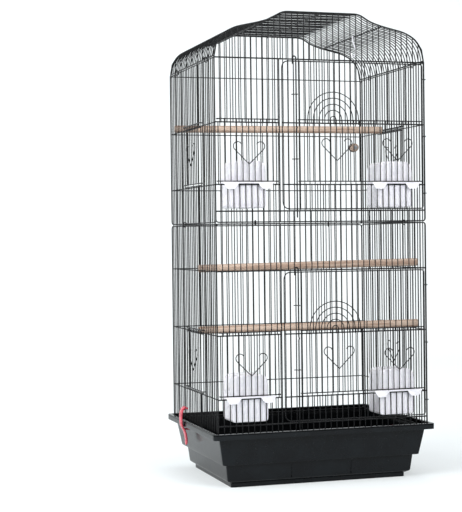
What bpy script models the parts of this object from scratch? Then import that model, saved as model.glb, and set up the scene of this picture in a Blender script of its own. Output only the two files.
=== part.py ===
"""Tall bird cage of black wire with an arched roof, standing in a black moulded tray.

Metres, +Z up.  The origin is at the middle of the tray's foot, the front faces -Y and
+X is to the right.  Every wire grille is welded from its own wires into one solid.
"""
import bpy
import bmesh
from math import asin, atan2, ceil, cos, floor, hypot, pi, radians, sin, sqrt
from mathutils import Matrix, Vector

# Overall sizes, between the middles of the corner posts
CAGE_WIDTH = 0.435
CAGE_DEPTH = 0.330
FRONT_GAPS = 36
SIDE_GAPS = 27

# Wires: width across the thin wire, and of the square frame wires
THIN = 0.0020
EDGE = 0.0022
FRAME = 0.0032
RAIL = 0.0030
POST = 0.0028
CLEAR = 0.0003
DOOR_CLEAR = 0.0006
CORNER = 0.005

# Tray: reach of the rim past the corner posts, heights and insets from the rim
RIM_REACH = 0.012
TRAY_CORNER = 0.008
RIM_TOP = 0.1105
RIM_UNDER = 0.0990
RIM_LIP = 0.0075
LEDGE = 0.1015
LEDGE_INSET = 0.0175
BODY_INSET = 0.0150
STEP_INSET = 0.0245
STEP_HEIGHT = 0.0465
LOWER_INSET = 0.0335
LOWER_FOOT_INSET = 0.0375
LOWER_BOTTOM = 0.0130
FOOT_INSET = 0.0470
FOOT_HEIGHT = 0.0080
FOOT_WIDTH = 0.0040
TRAY_FLOOR = 0.0155
TRAY_WALL = 0.0030

# Heights of the horizontal wires
DOOR_SILL = 0.1240
LOW_HATCH_SILL = 0.1750
LOW_HATCH_HEAD = 0.2970
LOW_DOOR_HEAD = 0.4200
SEAM = 0.5105
HIGH_DOOR_SILL = 0.5350
HIGH_HATCH_SILL = 0.5860
HIGH_HATCH_HEAD = 0.7050
EAVE = 0.8280

# Roof: half profile from the flat top down to the eave, as (distance in from the corner
# post, height over the eave), and the outer runners' distance in from the posts
ROOF_HALF = ((0.1375, 0.0918), (0.1165, 0.0780), (0.0915, 0.0700), (0.0415, 0.0590),
             (0.0175, 0.0460), (0.0045, 0.0260))
RUNNER_INSET = 0.0915

# Front: middle post, doors and the hatch openings in them
MID_POST = -0.088
POST_STEP = 0.0062
MID_POST_STEP = 0.0065
DOOR_LEFT = -0.082
DOOR_CORNER = 0.011
DOOR_STANDS = (-0.070, -0.058)
HATCH_EDGES = (-0.046, 0.084, 0.090)
MIDDLE_SPLIT = 11
RIGHT_SPLIT = 10
HINGE_TURN = 110
HINGE_INSET = 0.030

# Hatches and their hearts
HATCH_LIFT = 0.0060
HATCH_INSET = 0.0035
HATCH_MARGIN = 0.3
HEART_WIDTH = 0.063
HEART_HEIGHT = 0.043
HEART_LOBE = 0.0085
HEART_END = 150
HEART_STEPS = 6
LOW_HEART_TIPS = (0.0440, 0.0515, 0.0445)
HIGH_HEART_TIPS = (0.0385, 0.0460, 0.0470)
SIDE_HEART_TIP = 0.0440
PEG = 0.0014
HEART_GAPS = (5.5, 20.4, 31)
SIDE_HATCH_GAPS = (9, 19)

# Arcs over the middle hatch openings
ARC_CENTRE = 0.0240
ARC_START = 0.0059
ARC_PITCH = 0.0118
ARC_COUNT = 5
ARC_LEG = 0.008

# Latch rods
ROD_X = -0.0540
ROD_TAIL = 0.0120
ROD_NOSE = 0.0055
ROD_HOOK = 0.0070
ROD_KINK = 0.0014
ROD_KINK_DROP = 0.132
KEEPER_DROPS = (0.068, 0.193)
KEEPER_REACH = 0.010

# Feeders: plate on the hatch sill, lip outside with two tabs, cup and hood inside
LIP_WIDTH = 0.103
PLATE_THICK = 0.0030
LIP_THICK = 0.0024
TAB_GAP = 0.039
TAB_TAPER = 0.0085
TAB_BOTTOM = -0.0085
CUP_WIDTH = 0.074
CUP_DEPTH = 0.055
CUP_TOP = -0.0020
CUP_BOTTOM = -0.0450
CUP_CORNER = 0.007
HOOD_TOP = 0.0460
HOOD_SQUARE = 0.38
HOOD_STEPS = 6
CUP_WALL = 0.0022

# Perches: each end as (gap number, height of its middle over the side grille's level wire)
PERCH = 0.0155
PERCH_SLOT = 0.0034
HIGH_PERCH = ((25, 0.0105), (17, 0.0056))
LOW_PERCH = ((11, 0.0036), (3, 0.0113))
STUB = 0.018
STUB_LENGTH = 0.012
STUB_HEIGHT = 0.681
STUB_GAP = 34.5
SCREW = 0.0040
SCREW_HEAD = 0.0085
WASHER = 0.020
WASHER_THICK = 0.0015

# Tray clips, as (x outwards of the tray's rim, z), and their pivot by the tray's wall
CLIP_Y = 0.051
CLIP_WIDTH = 0.016
CLIP_THICK = 0.0040
CLIP_BOW = ((-0.0073, 0.1330), (-0.0069, 0.1365), (-0.0030, 0.1385), (0.0025, 0.1330),
            (0.0047, 0.1220), (0.0039, 0.1080), (0.0031, 0.1000), (0.0017, 0.0870),
            (-0.0023, 0.0720), (-0.0058, 0.0610))
CLIP_PIVOT = (-0.0145, 0.0930)
CLIP_ROOT = 0.0022

# Clips that hold the grilles together, and the hook under the roof
SEAM_CLIP_GAP = 6.5
SIDE_SEAM_CLIP_GAP = 8.5
EAVE_CLIP_GAPS = (4.5, 22.5)
HOOK_GAP = 11.5
HOOK_WIRE = 0.0026
HOOK_BEND = ((-0.0022, -0.009), (0.0008, -0.017), (0.0045, -0.026), (0.0045, -0.034),
             (0.0005, -0.0405), (-0.0045, -0.0395), (-0.0060, -0.0340))

# Values that follow from the ones above
HALF_W = CAGE_WIDTH / 2
HALF_D = CAGE_DEPTH / 2
PITCH = CAGE_WIDTH / FRONT_GAPS
SIDE_PITCH = CAGE_DEPTH / SIDE_GAPS
TRAY_WIDTH = CAGE_WIDTH + 2 * RIM_REACH
TRAY_DEPTH = CAGE_DEPTH + 2 * RIM_REACH
ROOF_RUNNERS = (HALF_W - RUNNER_INSET, 0.0, RUNNER_INSET - HALF_W)
FIXED_EDGES = (POST_STEP - HALF_W, MID_POST - MID_POST_STEP)
FEEDER_X = ((MID_POST - HALF_W) / 2, (HATCH_EDGES[2] + HALF_W) / 2)
THIN_R = THIN / sqrt(3)
CROSS_Y = THIN_R / 2 + CLEAR + THIN_R / 2
CROSS_REACH = CROSS_Y + THIN_R
SIDE_POST = HALF_D - CROSS_REACH - CLEAR - FRAME / 2
HATCH_Y = -(FRAME / 2 + CLEAR + EDGE / 2)
HATCH_FRONT = HATCH_Y - EDGE / 2
HATCH_STAND_Y = HATCH_Y + THIN_R / 4
HEART_Y = HATCH_STAND_Y - THIN_R - CLEAR - THIN_R / 2
CURL = THIN / 2 + EDGE / 2 + 2 * CLEAR
ROD_Y = -(FRAME / 2 + CLEAR + THIN_R / 2)
KEEPER_Y = ROD_Y - THIN_R - CLEAR - THIN / 2
FOOT_WIRE = LEDGE + CLEAR + FRAME / 2
UPPER_FOOT = SEAM + FRAME + CLEAR
ROOF_FOOT = EAVE + FRAME + CLEAR
DOOR_RIGHT = HALF_W - FRAME / sqrt(2) - CLEAR - FRAME / 2
PLATE_Z = RAIL / 2 + CLEAR


def hex_colour(text):
    """Linear colour of an sRGB hex code."""
    values = [int(text[i:i + 2], 16) / 255 for i in (0, 2, 4)]
    return [v / 12.92 if v <= 0.04045 else ((v + 0.055) / 1.055) ** 2.4 for v in values] + [1.0]


def material(name, colour, roughness, metallic=0.0):
    """A plain Principled material."""
    made = bpy.data.materials.new(name)
    made.use_nodes = True
    shader = made.node_tree.nodes["Principled BSDF"]
    shader.inputs["Base Color"].default_value = hex_colour(colour)
    shader.inputs["Roughness"].default_value = roughness
    shader.inputs["Metallic"].default_value = metallic
    return made


def fresh_scene():
    """Empty the scene and make the collections for the parts and for the guides."""
    for old in list(bpy.data.objects):
        bpy.data.objects.remove(old, do_unlink=True)
    collections = []
    for name in ("bird_cage", "guides"):
        collection = bpy.data.collections.new(name)
        bpy.context.scene.collection.children.link(collection)
        collections.append(collection)
    return collections


PARTS, GUIDES = fresh_scene()


def evaluated_mesh(obj):
    """The object's mesh with its modifiers or its curve bevel applied."""
    bpy.context.view_layer.update()
    graph = bpy.context.evaluated_depsgraph_get()
    return bpy.data.meshes.new_from_object(obj.evaluated_get(graph))


def guide(name, data):
    """A hidden object in the guides collection."""
    obj = bpy.data.objects.new(name, data)
    obj.hide_render = True
    obj.display_type = "WIRE"
    GUIDES.objects.link(obj)
    return obj


def part(name, mesh, finish, place=None, smooth=35):
    """A finished node: a mesh with its material, shaded smooth up to the given angle."""
    obj = bpy.data.objects.new(name, mesh)
    PARTS.objects.link(obj)
    if not mesh.materials:
        mesh.materials.append(finish)
        mesh.shade_smooth()
        mesh.set_sharp_from_angle(angle=radians(smooth))
    if place is not None:
        obj.matrix_world = place
    return obj


def section(name, radius, sides, turn):
    """A closed polygon that bent wires are swept with."""
    curve = bpy.data.curves.new(name, "CURVE")
    curve.dimensions = "2D"
    spline = curve.splines.new("POLY")
    spline.points.add(sides - 1)
    for i, point in enumerate(spline.points):
        angle = turn - 2 * pi * i / sides
        point.co = (radius * cos(angle), radius * sin(angle), 0, 1)
    spline.use_cyclic_u = True
    return guide(name, curve)


THIN_SECTION = section("thin_section", THIN_R, 3, 0)
EDGE_SECTION = section("edge_section", EDGE / sqrt(2), 4, pi / 4)
FRAME_SECTION = section("frame_section", FRAME / sqrt(2), 4, pi / 4)


def tilt_to(points, facing):
    """Tilt that turns a run's section so that its edge, or flat face, shows to a direction."""
    along = (Vector(points[1]) - Vector(points[0])).normalized()
    right = along.cross((0, 0, 1))
    right = right.normalized() if right.length > 1e-6 else Vector((1, 0, 0))
    up = right.cross(along)
    facing = Vector(facing)
    return -atan2(facing.dot(up), facing.dot(right))


def bent(runs, profile, facing=(0, -1, 0)):
    """Mesh of wires bent along runs of points; a run is (points, closed)."""
    curve = bpy.data.curves.new("run", "CURVE")
    curve.dimensions = "3D"
    curve.bevel_mode = "OBJECT"
    curve.bevel_object = profile
    curve.use_fill_caps = True
    for points, closed in runs:
        spline = curve.splines.new("POLY")
        spline.points.add(len(points) - 1)
        tilt = tilt_to(points, facing)
        for target, place in zip(spline.points, points):
            target.co = (*place, 1)
            target.tilt = tilt
        spline.use_cyclic_u = closed
    obj = guide("run", curve)
    mesh = evaluated_mesh(obj)
    bpy.data.objects.remove(obj)
    return welded(mesh)


def welded(mesh):
    """Close the loose caps of a mesh and turn its faces outwards."""
    work = bmesh.new()
    work.from_mesh(mesh)
    bmesh.ops.remove_doubles(work, verts=work.verts, dist=1e-6)
    bmesh.ops.recalc_face_normals(work, faces=work.faces)
    work.to_mesh(mesh)
    work.free()
    return mesh


def straight(bars):
    """Mesh of straight wires; a bar is (start, end, width, sides, direction of an edge).

    A three-sided wire shows an edge to that direction, a four-sided one a flat face.
    """
    work = bmesh.new()
    for start, end, width, sides, facing in bars:
        start = Vector(start)
        axis = Vector(end) - start
        radius = width / (2 * sin(pi / sides))
        across = Vector(facing).cross(axis).normalized()
        edge = axis.cross(across).normalized()
        turn = Matrix((across, edge, axis.normalized())).transposed().to_4x4()
        spin = Matrix.Rotation(pi / 4 if sides == 4 else 0, 4, "Z")
        place = Matrix.Translation(start + axis / 2) @ turn @ spin
        bmesh.ops.create_cone(work, cap_ends=True, segments=sides, radius1=radius,
                              radius2=radius, depth=axis.length, matrix=place)
    bmesh.ops.recalc_face_normals(work, faces=work.faces)
    mesh = bpy.data.meshes.new("bars")
    work.to_mesh(mesh)
    work.free()
    return mesh


def combined(base, others, operation="UNION"):
    """One mesh from a base mesh and others, joined to it or cut from it in turn."""
    target = guide("base", base)
    tools = []
    for other in others:
        tool = guide("tool", other)
        tools.append(tool)
        modifier = target.modifiers.new("join", "BOOLEAN")
        modifier.operation = operation
        modifier.solver = "EXACT"
        modifier.object = tool
    mesh = evaluated_mesh(target)
    for obj in [target] + tools:
        bpy.data.objects.remove(obj)
    return welded(mesh)


def rounded(points, radius, steps=2):
    """Closed outline with each corner replaced by points on an arc of the given radius."""
    result = []
    count = len(points)
    for i, corner in enumerate(points):
        corner = Vector(corner)
        before = (Vector(points[i - 1]) - corner).normalized()
        after = (Vector(points[(i + 1) % count]) - corner).normalized()
        size = radius[i] if isinstance(radius, (tuple, list)) else radius
        if size == 0:
            result.append(tuple(corner))
            continue
        half = before.angle(after) / 2
        centre = corner + (before + after).normalized() * size / sin(half)
        first = corner + before * (centre - corner).dot(before)
        last = corner + after * (centre - corner).dot(after)
        for k in range(steps + 1):
            ray = (first - centre).lerp(last - centre, k / steps)
            result.append(tuple(centre + ray.normalized() * size))
    return result


def stand(x, low, high):
    """A thin upright wire, welded into the wires at its ends."""
    short = THIN / 4
    return ((x, 0, low + short), (x, 0, high - short), THIN, 3, (0, -1, 0))


def cross(half, height):
    """A thin level wire on the inner side of a grille, clear of the uprights."""
    return ((-half, CROSS_Y, height), (half, CROSS_Y, height), THIN, 3, (0, 1, 0))


def rail(left, right, height, width=RAIL):
    """A level frame wire in the plane of a grille."""
    return ((left, 0, height), (right, 0, height), width, 4, (0, -1, 0))


def thin_rail(left, right, height):
    """A thin level wire in the plane of the uprights, a little past its end uprights."""
    return rail(left - THIN, right + THIN, height, POST - 2 * CLEAR)


def grid(first, last, half=HALF_W, pitch=PITCH):
    """Places of the regular uprights from gap number first to last."""
    return [-half + pitch * k for k in range(first, last + 1)]


def roof_profile(foot):
    """Points of the roof's arch from the left foot to the right one."""
    right = [(HALF_W - inset, EAVE + rise) for inset, rise in ROOF_HALF]
    left = [(-x, z) for x, z in right]
    return [(-HALF_W, foot)] + left[::-1] + right + [(HALF_W, foot)]


def roof_height(x):
    """Height of the arch's middle line over a place across the cage."""
    outline = roof_profile(EAVE)
    for (x0, z0), (x1, z1) in zip(outline, outline[1:]):
        if x0 <= x <= x1:
            return z0 + (z1 - z0) * (x - x0) / (x1 - x0)
    return EAVE


def level(points, y=0.0):
    """Points of a profile in the plane at y."""
    return [(x, y, z) for x, z in points]


def frame_loop(half, low, high):
    """Frame wire round a rectangular grille."""
    corners = [(-half, 0, low), (half, 0, low), (half, 0, high), (-half, 0, high)]
    return bent([(rounded(corners, CORNER), True)], FRAME_SECTION)


def gable_loop():
    """Frame wire round an end panel, up its posts and over the arch."""
    foot = rounded([(-HALF_W, 0, EAVE), (-HALF_W, 0, UPPER_FOOT), (HALF_W, 0, UPPER_FOOT),
                    (HALF_W, 0, EAVE)], (0, CORNER, CORNER, 0))
    arch = level(roof_profile(EAVE))[1:-1]
    return bent([(foot + arch[::-1], True)], FRAME_SECTION)


def back_lower():
    """Lower back grille."""
    stands = [stand(x, FOOT_WIRE, SEAM) for x in grid(1, FRONT_GAPS - 1)]
    crosses = [cross(HALF_W, z) for z in (LOW_HATCH_SILL, LOW_HATCH_HEAD, LOW_DOOR_HEAD)]
    return combined(frame_loop(HALF_W, FOOT_WIRE, SEAM), [straight(stands), straight(crosses)])


def back_upper():
    """Upper back grille with the gable over it."""
    stands = [stand(x, UPPER_FOOT, roof_height(x)) for x in grid(1, FRONT_GAPS - 1)]
    crosses = [cross(HALF_W, z) for z in (HIGH_HATCH_SILL, HIGH_HATCH_HEAD, EAVE)]
    return combined(gable_loop(), [straight(stands), straight(crosses)])


def side_grille(low, high, sill, head, more=()):
    """Side grille with a hatch opening between its sill and head wires."""
    first, last = SIDE_HATCH_GAPS
    places = grid(1, SIDE_GAPS - 1, HALF_D, SIDE_PITCH)
    left, right = places[first - 1], places[last - 1]
    sill_rail = sill + THIN + CLEAR
    head_rail = head - THIN - CLEAR
    stands = []
    for number, x in enumerate(places, 1):
        if first < number < last:
            stands.append(stand(x, low, sill_rail))
            stands.append(stand(x, head_rail, high))
        else:
            stands.append(stand(x, low, high))
    rails = [thin_rail(left, right, z) for z in (sill_rail, head_rail)]
    crosses = [cross(SIDE_POST, z) for z in (sill, head) + tuple(more)]
    return combined(frame_loop(SIDE_POST, low, high),
                    [straight(stands), straight(rails), straight(crosses)])


def front_lower():
    """Lower front grille: fixed part on the left, door opening on the right."""
    rails = [rail(-HALF_W, MID_POST, z, POST - CLEAR) for z in (LOW_HATCH_SILL, LOW_HATCH_HEAD)]
    post = ((MID_POST, 0, FOOT_WIRE), (MID_POST, 0, SEAM), POST, 4, (0, -1, 0))
    across = [rail(-HALF_W, HALF_W, z) for z in (DOOR_SILL, LOW_DOOR_HEAD)]
    fixed = [x for x in grid(1, FRONT_GAPS - 1) if x < MID_POST - THIN * 2]
    stands = [stand(x, FOOT_WIRE, LOW_HATCH_SILL) for x in fixed]
    stands += [stand(x, LOW_HATCH_HEAD, SEAM) for x in fixed]
    stands += [stand(x, LOW_HATCH_SILL, LOW_HATCH_HEAD) for x in FIXED_EDGES]
    beside = [x for x in grid(1, FRONT_GAPS - 1) if x > MID_POST + THIN * 2]
    stands += [stand(x, FOOT_WIRE, DOOR_SILL) for x in beside]
    stands += [stand(x, LOW_DOOR_HEAD, SEAM) for x in beside]
    return combined(frame_loop(HALF_W, FOOT_WIRE, SEAM),
                    [straight([post]), straight(across), straight(rails), straight(stands)])


def front_upper():
    """Upper front grille with its gable: fixed part on the left, door opening on the right."""
    rails = [rail(-HALF_W, MID_POST, z, POST - CLEAR) for z in (HIGH_HATCH_SILL, HIGH_HATCH_HEAD)]
    post = ((MID_POST, 0, UPPER_FOOT), (MID_POST, 0, EAVE), POST, 4, (0, -1, 0))
    across = [rail(-HALF_W, HALF_W, z) for z in (HIGH_DOOR_SILL, EAVE)]
    fixed = [x for x in grid(1, FRONT_GAPS - 1) if x < MID_POST - THIN * 2]
    stands = [stand(x, UPPER_FOOT, HIGH_HATCH_SILL) for x in fixed]
    stands += [stand(x, HIGH_HATCH_HEAD, EAVE) for x in fixed]
    stands += [stand(x, HIGH_HATCH_SILL, HIGH_HATCH_HEAD) for x in FIXED_EDGES]
    stands += [stand(x, UPPER_FOOT, HIGH_DOOR_SILL)
               for x in grid(1, FRONT_GAPS - 1) if x > MID_POST + THIN * 2]
    stands += [stand(x, EAVE, roof_height(x)) for x in grid(1, FRONT_GAPS - 1)]
    return combined(gable_loop(),
                    [straight([post]), straight(across), straight(rails), straight(stands)])


def roof():
    """Roof: thin arches between two frame arches, with runners under them."""
    outline = roof_profile(ROOF_FOOT)
    ends = [(level(outline, y), False) for y in (-SIDE_POST, SIDE_POST)]
    arches = [(level(outline, y), False) for y in grid(1, SIDE_GAPS - 1, HALF_D, SIDE_PITCH)]
    feet = [((x, -SIDE_POST, ROOF_FOOT), (x, SIDE_POST, ROOF_FOOT), RAIL, 4, (0, 0, 1))
            for x in (-HALF_W, HALF_W)]
    drop = THIN / 2 + CLEAR + THIN_R / 2
    runners = [((x, -SIDE_POST, roof_height(x) - drop), (x, SIDE_POST, roof_height(x) - drop),
                THIN, 3, (0, 0, -1)) for x in ROOF_RUNNERS]
    return combined(bent(ends, FRAME_SECTION),
                    [straight(feet), straight(runners), bent(arches, THIN_SECTION)])


def hinge_loops(low, high):
    """Open loops of a door round the front of the corner post."""
    radius = FRAME / sqrt(2) + 2 * CLEAR + THIN / 2
    runs = []
    for z in (low + HINGE_INSET, (low + high) / 2, high - HINGE_INSET):
        angles = [radians(180 + HINGE_TURN * k / 4) for k in range(5)]
        points = [(HALF_W + radius * cos(angle), radius * sin(angle), z) for angle in angles]
        runs.append((points, False))
    return bent(runs, THIN_SECTION, (0, 0, 1))


def arcs(base):
    """Nested arcs on the inner side of a door, standing on the hatch head rail."""
    runs = []
    for ring in range(ARC_COUNT):
        radius = ARC_START + ARC_PITCH * ring
        points = [(ARC_CENTRE - radius, CROSS_Y, base)]
        steps = 4 + ring
        for k in range(steps + 1):
            angle = pi - pi * k / steps
            points.append((ARC_CENTRE + radius * cos(angle), CROSS_Y,
                           base + ARC_LEG + radius * sin(angle)))
        points.append((ARC_CENTRE + radius, CROSS_Y, base))
        runs.append((points, False))
    return bent(runs, THIN_SECTION, (0, 1, 0))


def keepers(head):
    """Two wires of a door that bridge the latch rod and hold it."""
    root = -(THIN_R + THIN / 4)
    side = THIN + 2 * CLEAR
    runs = []
    for drop in KEEPER_DROPS:
        z = head - drop
        runs.append(([(DOOR_STANDS[1] - KEEPER_REACH / 2, root, z), (DOOR_STANDS[1], root, z),
                      (ROD_X - side, KEEPER_Y, z), (ROD_X + side, KEEPER_Y, z),
                      (ROD_X + side, ROD_Y, z)], False))
    return bent(runs, THIN_SECTION, (0, 0, 1))


def door(sill, head, hatch_sill, hatch_head):
    """A door: frame wire, rails over and under the hatches, uprights, arcs and hinge loops."""
    low = sill + RAIL / 2 + DOOR_CLEAR + FRAME / 2
    high = head - RAIL / 2 - DOOR_CLEAR - FRAME / 2
    corners = [(DOOR_LEFT, 0, low), (DOOR_RIGHT, 0, low),
               (DOOR_RIGHT, 0, high), (DOOR_LEFT, 0, high)]
    edges = (DOOR_CORNER, CORNER, CORNER, DOOR_CORNER)
    frame = bent([(rounded(corners, edges, 3), True)], FRAME_SECTION)
    rails = [rail(DOOR_LEFT, DOOR_RIGHT, z) for z in (hatch_sill, hatch_head)]
    whole = list(DOOR_STANDS) + list(HATCH_EDGES)
    middle = (HATCH_EDGES[1] - HATCH_EDGES[0]) / MIDDLE_SPLIT
    right = (DOOR_RIGHT - HATCH_EDGES[2]) / RIGHT_SPLIT
    split = [HATCH_EDGES[0] + middle * k for k in range(1, MIDDLE_SPLIT)]
    split += [HATCH_EDGES[2] + right * k for k in range(1, RIGHT_SPLIT)]
    stands = [stand(x, low, high) for x in whole]
    stands += [stand(x, low, hatch_sill) for x in split]
    stands += [stand(x, hatch_head, high) for x in split]
    return combined(frame, [straight(rails), straight(stands), arcs(hatch_head),
                            hinge_loops(low, high), keepers(head)])


def latch_rod(sill, head):
    """Rod that slides up and down before a door's edge, hooked at its top."""
    y = ROD_Y
    top = head + ROD_NOSE
    kink = head - ROD_KINK_DROP
    points = [(ROD_X, y, sill - ROD_TAIL),
              (ROD_X, y, kink - ROD_KINK * 2),
              (ROD_X + ROD_KINK, y, kink),
              (ROD_X, y, kink + ROD_KINK * 2),
              (ROD_X, y, top - ROD_HOOK / 2)]
    for k in range(1, 5):
        angle = pi * k / 4
        points.append((ROD_X - ROD_HOOK / 2 + ROD_HOOK / 2 * cos(angle), y,
                       top - ROD_HOOK / 2 + ROD_HOOK / 2 * sin(angle)))
    points.append((ROD_X - ROD_HOOK, y, top - ROD_HOOK * 2))
    return bent([(points, False)], THIN_SECTION)


def curl_points(x, side, end, z):
    """End of a hatch wire at the upright at x, curled behind it round its left or right side.

    The side and the end, left or right, are -1 or 1; with a side of 0 the end stays straight.
    """
    if side == 0:
        return [(x, HATCH_Y, z)]
    return [(x + side * CURL - end * EDGE, HATCH_Y, z), (x + side * CURL, HATCH_Y, z),
            (x + side * CURL, CURL, z), (x - side * THIN / 2, CURL, z)]


def heart_points():
    """Open heart: one lobe's curl, down to the tip and up the other side, tip at zero."""
    cx = HEART_WIDTH / 2 - HEART_LOBE
    cz = HEART_HEIGHT - HEART_LOBE
    reach = hypot(cx, cz)
    slope = atan2(cz, cx) - asin(HEART_LOBE / reach)
    start = slope - pi / 2
    finish = radians(HEART_END)
    right = []
    for k in range(HEART_STEPS + 1):
        angle = start + (finish - start) * k / HEART_STEPS
        right.append((cx + HEART_LOBE * cos(angle), cz + HEART_LOBE * sin(angle)))
    left = [(-x, z) for x, z in right[::-1]]
    return left + [(0, 0)] + right


def hatch(left, right, heart, sill, head, rise, pitch, curls=(-1, 1)):
    """Sliding hatch: uprights between two level wires that curl round the grille's edges.

    The heart stands at a place along the hatch, its tip at a rise over the sill.
    """
    low = sill + PLATE_Z + PLATE_THICK + CLEAR + EDGE / 2
    high = head + HATCH_LIFT
    runs = []
    for z in (low, high):
        points = curl_points(left, curls[0], -1, z)[::-1] + curl_points(right, curls[1], 1, z)
        runs.append((points, False))
    levels = bent(runs, EDGE_SECTION, (0, 0, 1))
    first = ceil((left - heart) / pitch + HATCH_MARGIN)
    last = floor((right - heart) / pitch - HATCH_MARGIN)
    short = THIN / 4
    places = [heart + pitch * k for k in range(first, last + 1)]
    stands = [((x, HATCH_STAND_Y, low + short), (x, HATCH_STAND_Y, high - short),
               THIN, 3, (0, -1, 0)) for x in places]
    tip = sill + rise
    shape = bent([([(heart + x, HEART_Y, tip + z) for x, z in heart_points()], False)],
                 THIN_SECTION)
    peg = ((heart, HEART_Y, tip), (heart, HATCH_STAND_Y, tip), PEG, 3, (0, 0, 1))
    return combined(levels, [straight(stands), shape, straight([peg])])


def ring(work, inset, height, steps=3):
    """Vertices of the tray's rounded plan at an inset from the rim and a height."""
    half_w = TRAY_WIDTH / 2 - inset
    half_d = TRAY_DEPTH / 2 - inset
    radius = max(TRAY_CORNER - inset / 2, 0.004)
    corners = [(-half_w, -half_d, height), (half_w, -half_d, height),
               (half_w, half_d, height), (-half_w, half_d, height)]
    return [work.verts.new(place) for place in rounded(corners, radius, steps)]


def tray():
    """Moulded tray: foot ring, stepped walls, rim with a ledge for the cage, flat floor."""
    profile = [(FOOT_INSET + FOOT_WIDTH, TRAY_FLOOR - TRAY_WALL), (FOOT_INSET + FOOT_WIDTH, 0.0),
               (FOOT_INSET, 0.0), (FOOT_INSET, FOOT_HEIGHT),
               (LOWER_FOOT_INSET, LOWER_BOTTOM), (LOWER_INSET, STEP_HEIGHT),
               (STEP_INSET, STEP_HEIGHT), (BODY_INSET, RIM_UNDER), (0.0, RIM_UNDER),
               (0.0, RIM_TOP), (RIM_LIP, RIM_TOP), (RIM_LIP, LEDGE), (LEDGE_INSET, LEDGE),
               (STEP_INSET + TRAY_WALL, STEP_HEIGHT + TRAY_WALL),
               (LOWER_INSET + TRAY_WALL, STEP_HEIGHT + TRAY_WALL),
               (LOWER_FOOT_INSET + TRAY_WALL, TRAY_FLOOR)]
    work = bmesh.new()
    rings = [ring(work, inset, height) for inset, height in profile]
    for lower, upper in zip(rings, rings[1:]):
        count = len(lower)
        for i in range(count):
            work.faces.new((lower[i], lower[(i + 1) % count], upper[(i + 1) % count], upper[i]))
    work.faces.new(rings[0])
    work.faces.new(rings[-1])
    bmesh.ops.recalc_face_normals(work, faces=work.faces)
    mesh = bpy.data.meshes.new("tray")
    work.to_mesh(mesh)
    work.free()
    return mesh


def prism(outline, y0, y1):
    """Solid between two planes across Y with an outline of (x, z) points."""
    work = bmesh.new()
    face = work.faces.new([work.verts.new((x, y0, z)) for x, z in outline])
    grown = bmesh.ops.extrude_face_region(work, geom=[face])["geom"]
    moved = [item for item in grown if isinstance(item, bmesh.types.BMVert)]
    bmesh.ops.translate(work, verts=moved, vec=(0, y1 - y0, 0))
    bmesh.ops.recalc_face_normals(work, faces=work.faces)
    mesh = bpy.data.meshes.new("prism")
    work.to_mesh(mesh)
    work.free()
    return mesh


def box(low, high):
    """Block between two corners."""
    outline = [(low[0], low[2]), (high[0], low[2]), (high[0], high[2]), (low[0], high[2])]
    return prism(outline, low[1], high[1])


def cup_outline(inset):
    """Feeder's outline in its own frame: rounded bottom corners, round-shouldered flat top."""
    half = CUP_WIDTH / 2 - inset
    bottom = CUP_BOTTOM + inset
    radius = CUP_CORNER - inset
    outline = []
    for k in range(4):
        angle = pi + pi / 2 * k / 3
        outline.append((-half + radius + radius * cos(angle), bottom + radius + radius * sin(angle)))
    for k in range(4):
        angle = 1.5 * pi + pi / 2 * k / 3
        outline.append((half - radius + radius * cos(angle), bottom + radius + radius * sin(angle)))
    shoulder = PLATE_Z + PLATE_THICK
    rise = HOOD_TOP - inset - shoulder
    quarter = [(half * cos(pi / 2 * k / HOOD_STEPS) ** HOOD_SQUARE,
                shoulder + rise * sin(pi / 2 * k / HOOD_STEPS) ** HOOD_SQUARE)
               for k in range(HOOD_STEPS)]
    return outline + quarter + [(-x, z) for x, z in quarter[::-1]]


def feeder():
    """Feeder in its own frame: origin on the hatch sill's middle line."""
    front = FRAME / 2 + CLEAR
    back = front + CUP_DEPTH
    body = prism(cup_outline(0), front, back)
    trough = prism(cup_outline(CUP_WALL), front + CUP_WALL, back - CUP_WALL)
    half = CUP_WIDTH / 2 - CUP_WALL
    arch = [point for point in cup_outline(CUP_WALL) if point[1] > CUP_TOP]
    mouth = prism(arch + [(-half, CUP_TOP), (half, CUP_TOP)], back - CUP_WALL * 2, back + CUP_WALL)
    hollow = combined(body, [trough, mouth], "DIFFERENCE")
    outer = HATCH_FRONT - CLEAR
    plate = box((-CUP_WIDTH / 2 + CUP_WALL, outer - LIP_THICK / 2, PLATE_Z),
                (CUP_WIDTH / 2 - CUP_WALL, front + CUP_WALL / 2, PLATE_Z + PLATE_THICK))
    tab = [(LIP_WIDTH / 2, PLATE_Z + PLATE_THICK), (LIP_WIDTH / 2 - TAB_TAPER, TAB_BOTTOM),
           (TAB_GAP / 2 + TAB_TAPER, TAB_BOTTOM), (TAB_GAP / 2, PLATE_Z)]
    lip = prism(tab + [(-x, z) for x, z in tab[::-1]], outer - LIP_THICK, outer)
    return combined(hollow, [plate, lip])


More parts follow.
